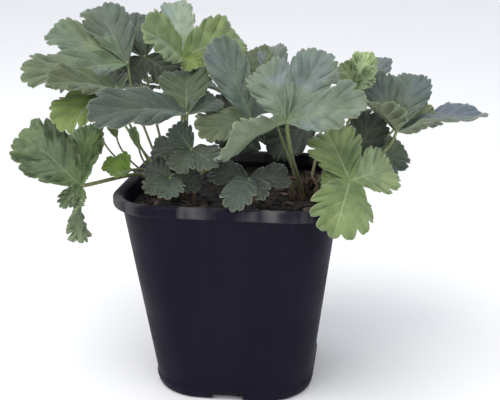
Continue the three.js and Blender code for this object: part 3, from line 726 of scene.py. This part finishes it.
def add_lobes(parts, path, radius, settings, rng):
    """The two pointed papery lobes that clasp the stalk's foot."""
    length = settings.sheath_length / MM
    foot = path[2] - (0, 0, FOOT["above"] + 2)
    heading = math.atan2(*(path[-1] - path[0])[1::-1])
    for turn in (-1.1, 1.1):
        add_scale(parts, foot, heading + turn, radius + 0.3, length * rng.uniform(0.8, 1.1),
                  2.0, rng.uniform(0.1, 0.22), tone("rose"), rng, material=1)


def add_scale(parts, foot, heading, radius, length, half_width, lean, colour, rng, material=0):
    """A pointed papery scale: a grid of angles round an upright axis and heights
    along it. Its half width falls off as 1 - height ** 2, it stands `radius`
    from the axis, leans out by `lean` of its height and ripples a little."""
    rows, columns, half_thickness = 9, 7, 0.18
    v = np.linspace(0, 1, rows)[:, None]
    u = np.linspace(-1, 1, columns)[None]
    angle = heading + u * half_width / radius * (1 - 0.94 * v ** 2)
    away = radius + lean * length * v ** 1.5 + 0.25 * np.sin(5 * v + rng.uniform(0, 6))
    up = length * v * (1 - 0.1 * u * u)
    points = np.stack([away * np.cos(angle), away * np.sin(angle), up + 0 * u], -1).reshape(-1, 3) + foot
    index = np.arange(rows * columns).reshape(rows, columns)
    half = np.full(rows * columns, half_thickness)
    body, faces = shell(points, index, edge_loop(index), half, half)
    parts.add(body, faces, material=material, colour=colour * rng.uniform(0.75, 1.15), growth=rng.uniform())


def add_hairs(parts, path, radius, sideways, settings, rng):
    """Fine pale hairs that stand out all round a stalk."""
    lengths = np.linalg.norm(np.diff(path, axis=0), axis=1)
    count = int(lengths.sum() * settings.hairs)
    if not count:
        return
    along = unit(np.gradient(path, axis=0))
    place = rng.uniform(0, len(path) - 1.001, count)
    cell, step = place.astype(int), (place % 1)[:, None]
    root = path[cell] * (1 - step) + path[cell + 1] * step
    axis = along[cell]
    first = unit(sideways - np.sum(sideways * axis, -1, keepdims=True) * axis)
    second = np.cross(axis, first)
    turn = rng.uniform(0, 2 * np.pi, count)[:, None]
    out = np.cos(turn) * first + np.sin(turn) * second
    directions = unit(out + axis * rng.uniform(-0.5, 0.4, (count, 1)))
    length = settings.hair_length / MM * rng.uniform(0.5, 1, count)
    points, faces = spikes(root + out * radius[cell][:, None] * 0.9, directions, length, 0.045)
    parts.add(points, faces, material=2)


# ---- materials --------------------------------------------------------------

class Nodes:
    """Short calls that lay out one material's nodes."""

    def __init__(self, name):
        self.material = bpy.data.materials.new(name)
        self.material.use_nodes = True
        self.tree = self.material.node_tree
        self.shader = self.tree.nodes["Principled BSDF"]
        self.place = self.add("ShaderNodeTexCoord").outputs["Object"]

    def add(self, kind, inputs=(), **settings):
        """A new node with these inputs and settings."""
        node = self.tree.nodes.new(kind)
        for key, value in settings.items():
            setattr(node, key, value)
        for key, value in dict(inputs).items():
            self.feed(node.inputs[key], value)
        return node

    def feed(self, socket, value):
        """Links another node's output to the socket, or gives it a fixed value."""
        if isinstance(value, bpy.types.NodeSocket):
            self.tree.links.new(value, socket)
        elif value is not None:
            socket.default_value = (*value, 1) if socket.type == "RGBA" else value

    def math(self, operation, a, b):
        """One number worked out from two."""
        return self.add("ShaderNodeMath", {0: a, 1: b}, operation=operation).outputs[0]

    def mix(self, factor, a, b, blend="MIX"):
        """A colour that goes from a to b as the factor goes from 0 to 1."""
        node = self.add("ShaderNodeMix", data_type="RGBA", blend_type=blend)
        for key, value in ((0, factor), (6, a), (7, b)):
            self.feed(node.inputs[key], value)
        return node.outputs[2]

    def tint(self, colour, factors):
        """The colour with each of its three parts multiplied by a factor."""
        return self.mix(1, colour, factors, "MULTIPLY")

    def vary(self, value, colour, dark, light):
        """A colour that runs from a darker tint of itself to a lighter one."""
        return self.mix(value, self.tint(colour, dark), self.tint(colour, light))

    def band(self, value, low, high, to_low=0.0, to_high=1.0):
        """A smooth step from one value to another between low and high."""
        node = self.add("ShaderNodeMapRange", {"Value": value, "From Min": low, "From Max": high,
                                               "To Min": to_low, "To Max": to_high},
                        interpolation_type="SMOOTHSTEP")
        return node.outputs["Result"]

    def noise(self, scale, detail, stretch=None):
        """Soft noise, finer for a larger scale, and drawn out along an axis
        where `stretch` is below 1."""
        vector = self.place
        if stretch:
            vector = self.add("ShaderNodeMapping", {"Vector": vector, "Scale": stretch}).outputs[0]
        node = self.add("ShaderNodeTexNoise", {"Vector": vector, "Scale": scale, "Detail": detail})
        return node.outputs["Fac"]

    def attribute(self, name):
        """A point's own vector, as a colour and as its three numbers."""
        node = self.add("ShaderNodeAttribute", attribute_name=name)
        split = self.add("ShaderNodeSeparateXYZ", {"Vector": node.outputs["Vector"]})
        return node.outputs["Color"], split.outputs

    def bump(self, height, distance, strength=1.0, normal=None):
        """Normals tilted by the slopes of a height, on top of any given ones."""
        inputs = {"Height": height, "Distance": distance, "Strength": strength}
        if normal is not None:
            inputs["Normal"] = normal
        return self.add("ShaderNodeBump", inputs).outputs["Normal"]

    def finish(self, colour, roughness, normal=None, **constants):
        """Feeds the shader, whose inputs' names have _ for a space, and gives the material."""
        self.feed(self.shader.inputs["Base Color"], colour)
        self.feed(self.shader.inputs["Roughness"], roughness)
        if normal is not None:
            self.feed(self.shader.inputs["Normal"], normal)
        for key, value in constants.items():
            self.feed(self.shader.inputs[key.replace("_", " ")], value)
        return self.material


def leaf_material(name, veining, cloud, settings):
    """A matt green blade with pale veins, darker tissue between them, a fine net
    of small veins, broad yellower and bluer clouds, a base that is yellower and
    darkened by painted shade where the leaflets meet, and a waxy bloom that
    shows at a slant."""
    nodes = Nodes(name)
    own, _ = nodes.attribute("colour")
    _, (vein, rib, under) = nodes.attribute("blade")
    _, (margin, along, _) = nodes.attribute("growth")
    patches, clouds, grain = nodes.noise(90, 4), nodes.noise(26, 2), nodes.noise(1400, 2)
    # base is partly a painted shade: a darker, more saturated tint for each blade's base, near the hub
    bluer, yellower, base = (0.98, 1.0, 1.55), (1.16, 1.10, 0.66), (0.66, 0.84, 0.52)
    colour = nodes.vary(nodes.band(patches, 0.34, 0.68), own, (0.60, 0.64, 0.58), (1.26, 1.22, 1.24))
    colour = nodes.mix(nodes.band(clouds, 0.52, 0.66, 0.0, cloud), colour, nodes.tint(colour, bluer))
    colour = nodes.mix(nodes.band(clouds, 0.48, 0.34, 0.0, cloud), colour, nodes.tint(colour, yellower))
    colour = nodes.mix(nodes.band(grain, 0.3, 0.75, 0.0, 0.22), colour, (0.30, 0.36, 0.22))
    # Painted shade: each blade is darkened towards its base, where the leaflets meet, and made a little
    # yellower there
    colour = nodes.mix(nodes.band(along, 0.5, 0.0, 0.0, 0.6), colour, nodes.tint(colour, base))
    tissue = nodes.math("MULTIPLY", nodes.band(vein, 0.8, 3.6), 0.3)
    colour = nodes.mix(tissue, colour, nodes.tint(own, (0.72, 0.78, 0.66)))
    ribs = nodes.math("MAXIMUM", nodes.band(vein, 1.3, 0.4, 0.0, 0.6 * veining),
                      nodes.band(rib, 1.2, 0.4, 0.0, veining))
    colour = nodes.mix(ribs, colour, tuple(settings.vein_colour))
    colour = nodes.mix(nodes.math("MULTIPLY", under, 0.6), colour, tuple(settings.underside_colour))
    colour = nodes.mix(nodes.band(margin, 0.955, 1.0, 0.0, 0.3), colour, (0.33, 0.36, 0.20))

    cells = nodes.add("ShaderNodeTexVoronoi", {"Vector": nodes.place, "Scale": 620.0},
                      feature="DISTANCE_TO_EDGE").outputs["Distance"]
    normal = nodes.bump(nodes.noise(2600, 2), 0.00006, 0.6)
    normal = nodes.bump(nodes.band(cells, 0.0, 0.28), 0.00016, 0.55, normal)
    normal = nodes.bump(nodes.noise(210, 2), 0.0012, 0.35, normal)
    roughness = nodes.band(patches, 0.3, 0.7, 0.50, 0.62)
    return nodes.finish(colour, roughness, normal, Specular_IOR_Level=0.42, Sheen_Weight=0.35,
                        Sheen_Roughness=0.45, Sheen_Tint=tuple(settings.bloom_colour))


def stalk_material():
    """Pale green stalk flesh with fine lengthwise streaks, reddish at the foot."""
    nodes = Nodes("stalk")
    own, _ = nodes.attribute("colour")
    streaks = nodes.noise(900, 2, stretch=(1, 1, 0.12))
    colour = nodes.vary(nodes.band(streaks, 0.35, 0.7), own, (0.74, 0.72, 0.66), (1.1, 1.1, 1.05))
    roughness = nodes.band(streaks, 0.3, 0.7, 0.42, 0.56)
    return nodes.finish(colour, roughness, nodes.bump(streaks, 0.00015, 0.5),
                        Sheen_Weight=0.3, Sheen_Roughness=0.4, Sheen_Tint=(0.8, 0.85, 0.8))


def hair_material():
    """Clear, nearly white hairs."""
    nodes = Nodes("hairs")
    colour = nodes.mix(nodes.noise(400, 1), (0.46, 0.50, 0.38), (0.62, 0.64, 0.56))
    return nodes.finish(colour, 0.4)


def soil_material(settings):
    """Moist potting soil: nearly black, with browner crumbs, specks and a broken gloss."""
    nodes = Nodes("soil")
    dark = tuple(settings.colour)
    brown = tuple(4.2 * value for value in dark)
    crumbs = nodes.noise(330, 4)
    specks = nodes.band(nodes.noise(1500, 2), 0.62, 0.75, 0.0, 0.7)
    colour = nodes.mix(nodes.band(crumbs, 0.42, 0.72), dark, brown)
    colour = nodes.mix(specks, colour, (0.09, 0.065, 0.05))
    roughness = nodes.band(crumbs, 0.35, 0.7, 0.6, 0.95)
    return nodes.finish(colour, roughness, nodes.bump(nodes.noise(1100, 4), 0.0006, 0.9),
                        Specular_IOR_Level=0.35)


def bark_material(name, colour):
    """Woody fibre with a lengthwise grain and darker cracks."""
    nodes = Nodes(name)
    grain = nodes.noise(700, 4, stretch=(1, 0.35, 0.6))
    dark = tuple(0.32 * value for value in colour)
    shades = nodes.mix(nodes.band(grain, 0.32, 0.62), dark, tuple(colour))
    normal = nodes.bump(grain, 0.0004, 0.8)
    return nodes.finish(shades, nodes.band(grain, 0.3, 0.7, 0.7, 0.9), normal)


def crown_material():
    """Papery brown scales, coloured point by point, with a fibrous grain."""
    nodes = Nodes("crown")
    own, _ = nodes.attribute("colour")
    grain = nodes.noise(1000, 3, stretch=(1, 1, 0.2))
    colour = nodes.vary(nodes.band(grain, 0.3, 0.7), own, (0.45, 0.42, 0.40), (1.15, 1.1, 1.05))
    return nodes.finish(colour, nodes.band(grain, 0.3, 0.7, 0.6, 0.8), nodes.bump(grain, 0.0003, 0.7))


def pot_material(settings):
    """Nearly black moulded plastic with a satin skin, faint flow marks from the
    mould, lighter streaky patches on the rim band that are partly dust and partly
    painted highlight, and specks of soil below it."""
    nodes = Nodes("pot plastic")
    _, _, height = nodes.add("ShaderNodeSeparateXYZ", {"Vector": nodes.place}).outputs
    top, band = POT["height"] * MM, (POT["height"] - POT["rim_band"]) * MM
    on_rim = nodes.band(height, band - 0.5 * MM, band + 0.5 * MM)
    near_rim = nodes.band(height, top - 40 * MM, top)
    flow = nodes.noise(60, 3, stretch=(1, 1, 0.06))
    patches = nodes.noise(38, 4)
    # Lighter streaks on the rim band: partly dust, partly a painted highlight standing in for the sky's
    # reflection.
    rubbed_and_highlight = nodes.noise(55, 3, stretch=(1, 1, 0.2))
    rubbed_and_highlight = nodes.math("MULTIPLY", on_rim, nodes.band(rubbed_and_highlight, 0.42, 0.68))
    specks = nodes.math("MULTIPLY", near_rim, nodes.band(nodes.noise(900, 2), 0.68, 0.76))
    plain, dust = tuple(settings.colour), tuple(settings.dust_colour)
    colour = nodes.mix(nodes.band(flow, 0.35, 0.75), plain, tuple(1.45 * value for value in plain))
    # Painted highlight and dust: the rim band's streaks lean towards the dust colour.
    colour = nodes.mix(nodes.math("MULTIPLY", rubbed_and_highlight, 0.55), colour, dust)
    colour = nodes.mix(nodes.math("MULTIPLY", specks, 0.5), colour, dust)
    roughness = nodes.math("ADD", nodes.band(patches, 0.3, 0.7, 0.46, 0.58),
                           nodes.math("MULTIPLY", rubbed_and_highlight, 0.12))
    normal = nodes.bump(flow, 0.0006, 0.35, nodes.bump(nodes.noise(2200, 2), 0.00004, 0.5))
    return nodes.finish(colour, roughness, normal, Specular_IOR_Level=0.1)


# ---- container, soil and crowns ---------------------------------------------

def outline(corner_steps, side_steps):
    """A square with round corners, walked anticlockwise. Each point is the middle
    of its corner's circle, as a share of the way from the centre, and a
    direction from there. Gives both, one row a point."""
    turn = np.linspace(0, np.pi / 2, corner_steps + 1)
    middles, directions = [], []
    for quarter in range(4):
        angle = turn + quarter * np.pi / 2
        corner = np.array([(1, 1), (-1, 1), (-1, -1), (1, -1)])[[quarter, (quarter + 1) % 4]]
        part = np.linspace(0, 1, side_steps + 1)[1:-1, None]
        middles += [np.broadcast_to(corner[0], (len(turn), 2)), corner[0] + (corner[1] - corner[0]) * part]
        round_ = np.stack([np.cos(angle), np.sin(angle)], -1)
        directions += [round_, np.broadcast_to(round_[-1], (len(part), 2))]
    return np.concatenate(middles), np.concatenate(directions)


def wall_at(z):
    """Half width and corner radius of the container's outer wall at height z."""
    t = z / (POT["height"] - POT["rim_band"])
    half = POT["base_half"] + t * (POT["rim_half"] - POT["rim_step"] - POT["base_half"])
    corner = POT["base_corner"] + t * (POT["rim_corner"] - POT["rim_step"] - POT["base_corner"])
    return half, corner


def rounded(profile, radius, steps=4):
    """An open profile with each of its inner corners replaced by a curve that
    starts and ends `radius` away from it, or 0.45 of the way to the next."""
    before, corner, after = profile[:-2], profile[1:-1], profile[2:]
    start, end = before - corner, after - corner
    first, last = (np.minimum(radius, 0.45 * np.linalg.norm(way, axis=1))[:, None] * unit(way)
                   for way in (start, end))
    t = np.linspace(0, 1, steps + 1)[None, :, None]
    curve = ((1 - t) ** 2 * (corner + first)[:, None] + 2 * t * (1 - t) * corner[:, None]
             + t ** 2 * (corner + last)[:, None])
    return np.concatenate([profile[:1], curve.reshape(-1, 2), profile[-1:]])


def ring_wall(profile, middles, directions):
    """Rings round the container, one for each height and distance outward from
    its wall. Gives a grid of points, closed by repeating its first column."""
    half, corner = wall_at(profile[:, 0])
    half, corner = half + profile[:, 1], corner + profile[:, 1]
    flat = (half - corner)[:, None, None] * middles + corner[:, None, None] * directions
    return np.concatenate([flat, np.broadcast_to(profile[:, :1, None], flat.shape[:2] + (1,))], -1)


def capped(grid, first, last):
    """Closes a stack of rings by a fan at each end. Gives the points and faces."""
    rings, count = grid.shape[:2]
    index = np.arange(rings * count).reshape(rings, count)
    index = np.concatenate([index, index[:, :1]], 1)
    start = np.stack([index[0, 1:], index[0, :-1], np.full(count, rings * count)], -1)
    end = np.stack([index[-1, :-1], index[-1, 1:], np.full(count, rings * count + 1)], -1)
    return np.concatenate([grid.reshape(-1, 3), [first], [last]]), [grid_faces(index)[:, ::-1], start, end]


def build_pot(settings):
    """The container: a rounded foot, a tapered wall, a rim band that stands proud,
    and the inside down to its floor, with a notch cut into each lower edge. A row
    of its profile is a height and a distance outward from the wall."""
    height, step, wall, edge = (POT[name] for name in ("height", "rim_step", "wall", "edge"))
    bulge, foot, floor = (POT[name] for name in ("foot_bulge", "foot_height", "floor"))
    under = height - POT["rim_band"]
    profile = np.array([
        (0, -8), (0, bulge - 2 * edge), (edge, bulge - edge / 2), (foot, bulge), (foot + 2 * edge, 0),
        (under / 2, 0), (under - edge, 0), (under, step - edge), (under + edge, step - edge / 2),
        (height - edge, step - edge), (height, step - 2 * edge), (height, edge / 2), (height - edge, -wall),
        (under, -wall), (floor, -wall), (floor, -wall - 6)])
    profile = rounded(profile, settings.edge_radius / MM)
    grid = ring_wall(profile, *outline(settings.corner_steps, 10))
    points, faces = capped(grid, (0, 0, 0), (0, 0, POT["floor"]))
    parts = Parts()
    parts.add(points, faces)
    pot = parts.build("nursery_pot", [pot_material(settings)], ["pot"])
    cut_notches(pot)
    return pot


def cut_notches(pot):
    """Cuts a drainage notch, wider at its foot than at its top, into each side."""
    deep, tall, wide = POT["notch_depth"], POT["notch_height"], POT["notch_width"] / 2
    slope, slant = 1.5, 0.5
    section = np.array([(-wide - slope, -1), (wide + slant, -1), (wide, tall), (-wide + slope, tall)])
    x, z = np.tile(section, (2, 1)).T
    y = np.repeat([-deep, deep], 4) - POT["base_half"]
    turn = np.arange(4)[:, None] * np.pi / 2
    points = np.stack([x * np.cos(turn) - y * np.sin(turn), x * np.sin(turn) + y * np.cos(turn),
                       np.broadcast_to(z, (4, 8))], -1).reshape(-1, 3)
    box = np.array([(0, 1, 2, 3), (7, 6, 5, 4), (0, 4, 5, 1), (1, 5, 6, 2), (2, 6, 7, 3), (3, 7, 4, 0)])
    faces = (np.arange(4)[:, None, None] * 8 + box).reshape(-1, 4)
    mesh = bpy.data.meshes.new("notches")
    mesh.from_pydata((points * MM).tolist(), [], faces.tolist())
    cutter = bpy.data.objects.new("notches", mesh)
    bpy.context.scene.collection.objects.link(cutter)
    cut = pot.modifiers.new("notches", "BOOLEAN")
    cut.operation, cut.solver, cut.object = "DIFFERENCE", "EXACT", cutter
    whole = pot.evaluated_get(bpy.context.evaluated_depsgraph_get())
    finished = bpy.data.meshes.new_from_object(whole)
    pot.modifiers.clear()
    pot.data = finished
    bpy.data.objects.remove(cutter)


def soil_bump(x, y):
    """The gentle rise and fall of the soil."""
    return 1.3 * (np.sin(0.21 * x + 1.3) * np.cos(0.17 * y + 0.4) + 0.4 * np.sin(0.37 * (x - y)))


def soil_height(x, y, settings):
    """Height of the soil: its rise and fall, with crumbs of two sizes on it."""
    flat = np.stack([x, y, np.zeros_like(x)], -1)
    crumbs = lattice_noise(flat / 5.0, 11, 2) * 0.9 + np.abs(lattice_noise(flat / 2.2, 12)) * 0.8
    return SOIL_TOP + soil_bump(x, y) + crumbs * settings.crumb_height / MM


def scatter_lumps(parts, edge, count, shape, boxy, material, settings, rng):
    """Lumps of many sizes, most of them small, strewn over the soil inside `edge`,
    each stretched by `shape`, turned at random and tipped a little."""
    inward = np.sqrt(rng.uniform(0, 0.94, count))
    chosen = rng.integers(0, len(edge), count)
    x, y = (edge[chosen, :2] * inward[:, None]).T
    size = rng.gamma(*LUMP_SIZES, count)[:, None] * np.array(shape) * rng.uniform(0.7, 1.3, (count, 3))
    size = np.clip(size, *LUMP_LIMITS)
    z = soil_height(x, y, settings) + 0.25 * size[:, 2]
    turns = np.stack([rng.uniform(0, 6.28, count), rng.normal(0, 0.3, count)], -1)
    points, faces = lumps(np.stack([x, y, z], -1), size, turns, 21, boxy)
    parts.add(points, faces, material=material)


def scatter_rootlets(parts, settings, rng):
    """Fibres that lie on the soil, each bent to one side and raised in its middle
    along a parabola."""
    for _ in range(settings.rootlets):
        length, heading = rng.uniform(*ROOTLET["length"]), rng.uniform(0, 6.28)
        t = np.linspace(-0.5, 0.5, 12)
        x, y = rng.uniform(-ROOTLET["reach"], ROOTLET["reach"], 2)
        bend = rng.uniform(-0.5, 0.5) * length * (t * t - 0.25)
        px = x + length * t * math.cos(heading) - bend * math.sin(heading)
        py = y + length * t * math.sin(heading) + bend * math.cos(heading)
        rise = 0.3 + ROOTLET["rise"] * (0.25 - t * t)
        path = np.stack([px, py, soil_height(px, py, settings) + rise], -1)
        points, faces = tube(path, ROOTLET["radius"] * (1.1 - np.abs(t)), 5, np.array((0, 0, 1.0)))
        parts.add(points, faces, material=2)


def build_soil(settings):
    """The soil: rings from the container's wall to the middle of a crumbly
    surface, with loose clods, chips of bark and rootlets lying on it."""
    rng = np.random.default_rng(5)
    inward = -POT["wall"] - SOIL_GAP
    bottom = POT["floor"] + SOIL_GAP
    side = ring_wall(np.array([(bottom, inward), (SOIL_TOP, inward)]), *outline(14, 12))
    scale = np.linspace(1, 0, 62)[1:-1, None, None]
    top = side[-1] * (1, 1, 0) * scale
    top[..., 2] = soil_height(top[..., 0], top[..., 1], settings)
    middle = (0, 0, float(soil_height(np.zeros(1), np.zeros(1), settings)[0]))
    parts = Parts()
    points, faces = capped(np.concatenate([side, top]), (0, 0, bottom), middle)
    parts.add(points, faces)
    for material, (name, (shape, boxy)) in enumerate(LUMPS.items()):
        scatter_lumps(parts, side[-1], getattr(settings, name), shape, boxy, material, settings, rng)
    scatter_rootlets(parts, settings, rng)
    materials = [soil_material(settings), bark_material("bark chips", settings.chip_colour),
                 bark_material("rootlets", settings.rootlet_colour)]
    return parts.build("potting_soil", materials, ["soil"])


def build_crown(side):
    """A crown: a woody stump wrapped in pointed papery scales, with runners that
    arch from it down into the soil."""
    rng = np.random.default_rng(31 if side == "left" else 32)
    row = CROWN[side]
    foot = np.array([*row["at"], SOIL_TOP])
    parts = Parts()
    t = np.linspace(0, 1, 12)
    path = foot + np.stack([0 * t, 0 * t, -FOOT["depth"] + (FOOT["depth"] + row["height"] - 1) * t], -1)
    radius = row["radius"] * np.where(t < 0.6, 1, 1 - 0.75 * ((t - 0.6) / 0.4) ** 2)
    knots = 1 + 0.16 * np.sin(5 * np.arange(20) / 20 * 2 * np.pi)
    points, faces = tube(path, radius * 0.95, 20, np.array((1.0, 0, 0)), knots)
    parts.add(points, faces, colour=tone("bark"))
    for ring, (away, length, lean) in enumerate(SCALES):
        count = 6 - ring
        for i in range(count):
            heading = (i + 0.37 * ring) / count * 2 * np.pi + rng.uniform(-0.2, 0.2)
            add_scale(parts, foot - (0, 0, 2.5 - 2 * ring), heading, row["radius"] * away + 0.2,
                      length * rng.uniform(0.7, 1.1), 4.2 - ring, lean, tone(("bark", "rose")[i % 2]), rng)
    for end in row["runners"]:
        path = arch_path(np.array([*end, SOIL_TOP], float), foot + (0, 0, 3), RUNNER, 26)
        knobs = RUNNER["radius"] * (1 + 0.12 * np.sin(np.arange(len(path)) * 1.9))
        points, faces = tube(path, knobs, 9, unit(np.cross((0, 0, 1), path[-1] - path[0] + (1e-3, 0, 0))))
        parts.add(points, faces, colour=tone("rose"))
    return parts.build(f"woody_crown_{side}", [crown_material()], [f"crown_{side}"])


def build_frond(row, materials, settings, seed):
    """One frond: its stalk with hub, lobes and hairs, and its leaflets."""
    rng = np.random.default_rng(seed)
    finish = row["finish"]
    parts = Parts()
    for leaflet in row["leaflets"]:
        add_leaflet(parts, np.array(row["hub"], float), leaflet, row["ruffle"], settings.leaf, rng)
    add_stalk(parts, row, settings.stalk, rng)
    name = row["name"].replace("frond_", "leaf_").replace("young_leaf_", "sprig_")
    used = [materials[finish], materials["stalk"], materials["hairs"]]
    return parts.build(name, used, [row["name"]])


# ---- stage ------------------------------------------------------------------

CAMERA = {"azimuth": 8.0, "elevation": 17.2, "distance": 620, "lens": 65.45, "sensor": 36,
          "target": (7.53, 1.06, 123.6)}
# Each lamp's place and width in metres, and its colour. Its power is a setting.
LAMPS = {"key": ((-0.5, -0.6, 1.5), 1.4, (1.0, 0.98, 0.95)),
         "fill": ((1.2, -1.3, 0.7), 1.2, (0.92, 0.95, 1.0))}
SKY_COLOUR = (0.93, 0.95, 1.0)


def build_floor(settings):
    """A plain pale floor."""
    half = settings.floor_half
    mesh = bpy.data.meshes.new("floor")
    corners = [(-half, -half, 0), (half, -half, 0), (half, half, 0), (-half, half, 0)]
    mesh.from_pydata(corners, [], [(0, 1, 2, 3)])
    floor = bpy.data.objects.new("floor", mesh)
    bpy.context.scene.collection.objects.link(floor)
    nodes = Nodes("floor")
    pale = tuple(settings.floor_colour)
    colour = nodes.mix(nodes.noise(3, 2), pale, tuple(0.98 * value for value in pale))
    mesh.materials.append(nodes.finish(colour, 0.7, Specular_IOR_Level=0.2))


def add_light(name, power):
    """A square lamp that points at the plant's middle."""
    place, width, colour = LAMPS[name]
    lamp = bpy.data.lights.new(name, "AREA")
    lamp.shape, lamp.size, lamp.energy, lamp.color = "SQUARE", width, power, colour
    light = bpy.data.objects.new(name, lamp)
    light.location = place
    aim = Vector(CAMERA["target"]) * MM - Vector(place)
    light.rotation_euler = aim.to_track_quat("-Z", "Y").to_euler()
    bpy.context.scene.collection.objects.link(light)


def build_camera():
    """A camera that looks down at the plant from the front, a little to its right."""
    azimuth, elevation = math.radians(CAMERA["azimuth"]), math.radians(CAMERA["elevation"])
    back = Vector((math.sin(azimuth) * math.cos(elevation), -math.cos(azimuth) * math.cos(elevation),
                   math.sin(elevation)))
    data = bpy.data.cameras.new("camera")
    data.lens, data.sensor_width = CAMERA["lens"], CAMERA["sensor"]
    data.clip_start, data.clip_end = 0.01, 100
    camera = bpy.data.objects.new("camera", data)
    camera.location = (Vector(CAMERA["target"]) + back * CAMERA["distance"]) * MM
    camera.rotation_euler = (-back).to_track_quat("-Z", "Y").to_euler()
    bpy.context.scene.collection.objects.link(camera)
    bpy.context.scene.camera = camera


def build_sky(strength):
    """Even pale light from all round."""
    world = bpy.data.worlds.new("sky")
    world.use_nodes = True
    background = world.node_tree.nodes["Background"].inputs
    background["Color"].default_value = (*SKY_COLOUR, 1)
    background["Strength"].default_value = strength
    bpy.context.scene.world = world
    bpy.context.scene.view_settings.view_transform = "Standard"


# ---- operators and panel ----------------------------------------------------

class STRAWBERRY_OT_pot(bpy.types.Operator):
    """Build the container"""
    bl_idname = "strawberry.pot"
    bl_label = "Build container"

    def execute(self, context):
        build_pot(context.scene.strawberry.pot)
        return {"FINISHED"}


class STRAWBERRY_OT_soil(bpy.types.Operator):
    """Build the soil and what lies on it"""
    bl_idname = "strawberry.soil"
    bl_label = "Build soil"

    def execute(self, context):
        build_soil(context.scene.strawberry.soil)
        return {"FINISHED"}


class STRAWBERRY_OT_crowns(bpy.types.Operator):
    """Build both crowns with their scales and runners"""
    bl_idname = "strawberry.crowns"
    bl_label = "Build crowns"

    def execute(self, context):
        for side in CROWN:
            build_crown(side)
        return {"FINISHED"}


class STRAWBERRY_OT_fronds(bpy.types.Operator):
    """Build every frond: stalk, hairs and leaflets"""
    bl_idname = "strawberry.fronds"
    bl_label = "Build fronds"

    def execute(self, context):
        settings = context.scene.strawberry
        materials = {name: leaf_material(name, *finish, settings.leaf) for name, finish in FINISH.items()}
        materials.update(stalk=stalk_material(), hairs=hair_material())
        for seed, row in enumerate(FRONDS):
            build_frond(row, materials, settings, seed)
        return {"FINISHED"}


class STRAWBERRY_OT_stage(bpy.types.Operator):
    """Build the floor, the lights and the camera"""
    bl_idname = "strawberry.stage"
    bl_label = "Build stage"

    def execute(self, context):
        settings = context.scene.strawberry.stage
        build_floor(settings)
        build_sky(settings.sky)
        add_light("key", settings.key)
        add_light("fill", settings.fill)
        build_camera()
        return {"FINISHED"}


OPERATORS = (STRAWBERRY_OT_pot, STRAWBERRY_OT_soil, STRAWBERRY_OT_crowns, STRAWBERRY_OT_fronds,
             STRAWBERRY_OT_stage)


class STRAWBERRY_PT_panel(bpy.types.Panel):
    """The plant's operators and settings"""
    bl_label = "Strawberry plant"
    bl_space_type = "VIEW_3D"
    bl_region_type = "UI"
    bl_category = "Strawberry"

    def draw(self, context):
        for operator in OPERATORS:
            self.layout.operator(operator.bl_idname)
        settings = context.scene.strawberry
        for group in (settings.leaf, settings.stalk, settings.soil, settings.pot, settings.stage):
            box = self.layout.box()
            for name in group.bl_rna.properties.keys():
                if name not in {"rna_type", "name"}:
                    box.prop(group, name)


CLASSES = (LeafSettings, StalkSettings, SoilSettings, PotSettings, StageSettings, PlantSettings,
           *OPERATORS, STRAWBERRY_PT_panel)


def register():
    for cls in CLASSES:
        bpy.utils.register_class(cls)
    bpy.types.Scene.strawberry = PointerProperty(type=PlantSettings)


def unregister():
    del bpy.types.Scene.strawberry
    for cls in reversed(CLASSES):
        bpy.utils.unregister_class(cls)


def main():
    """Builds every piece."""
    register()
    for operator in OPERATORS:
        getattr(bpy.ops.strawberry, operator.bl_idname.split(".")[1])()


if __name__ == "__main__":
    main()
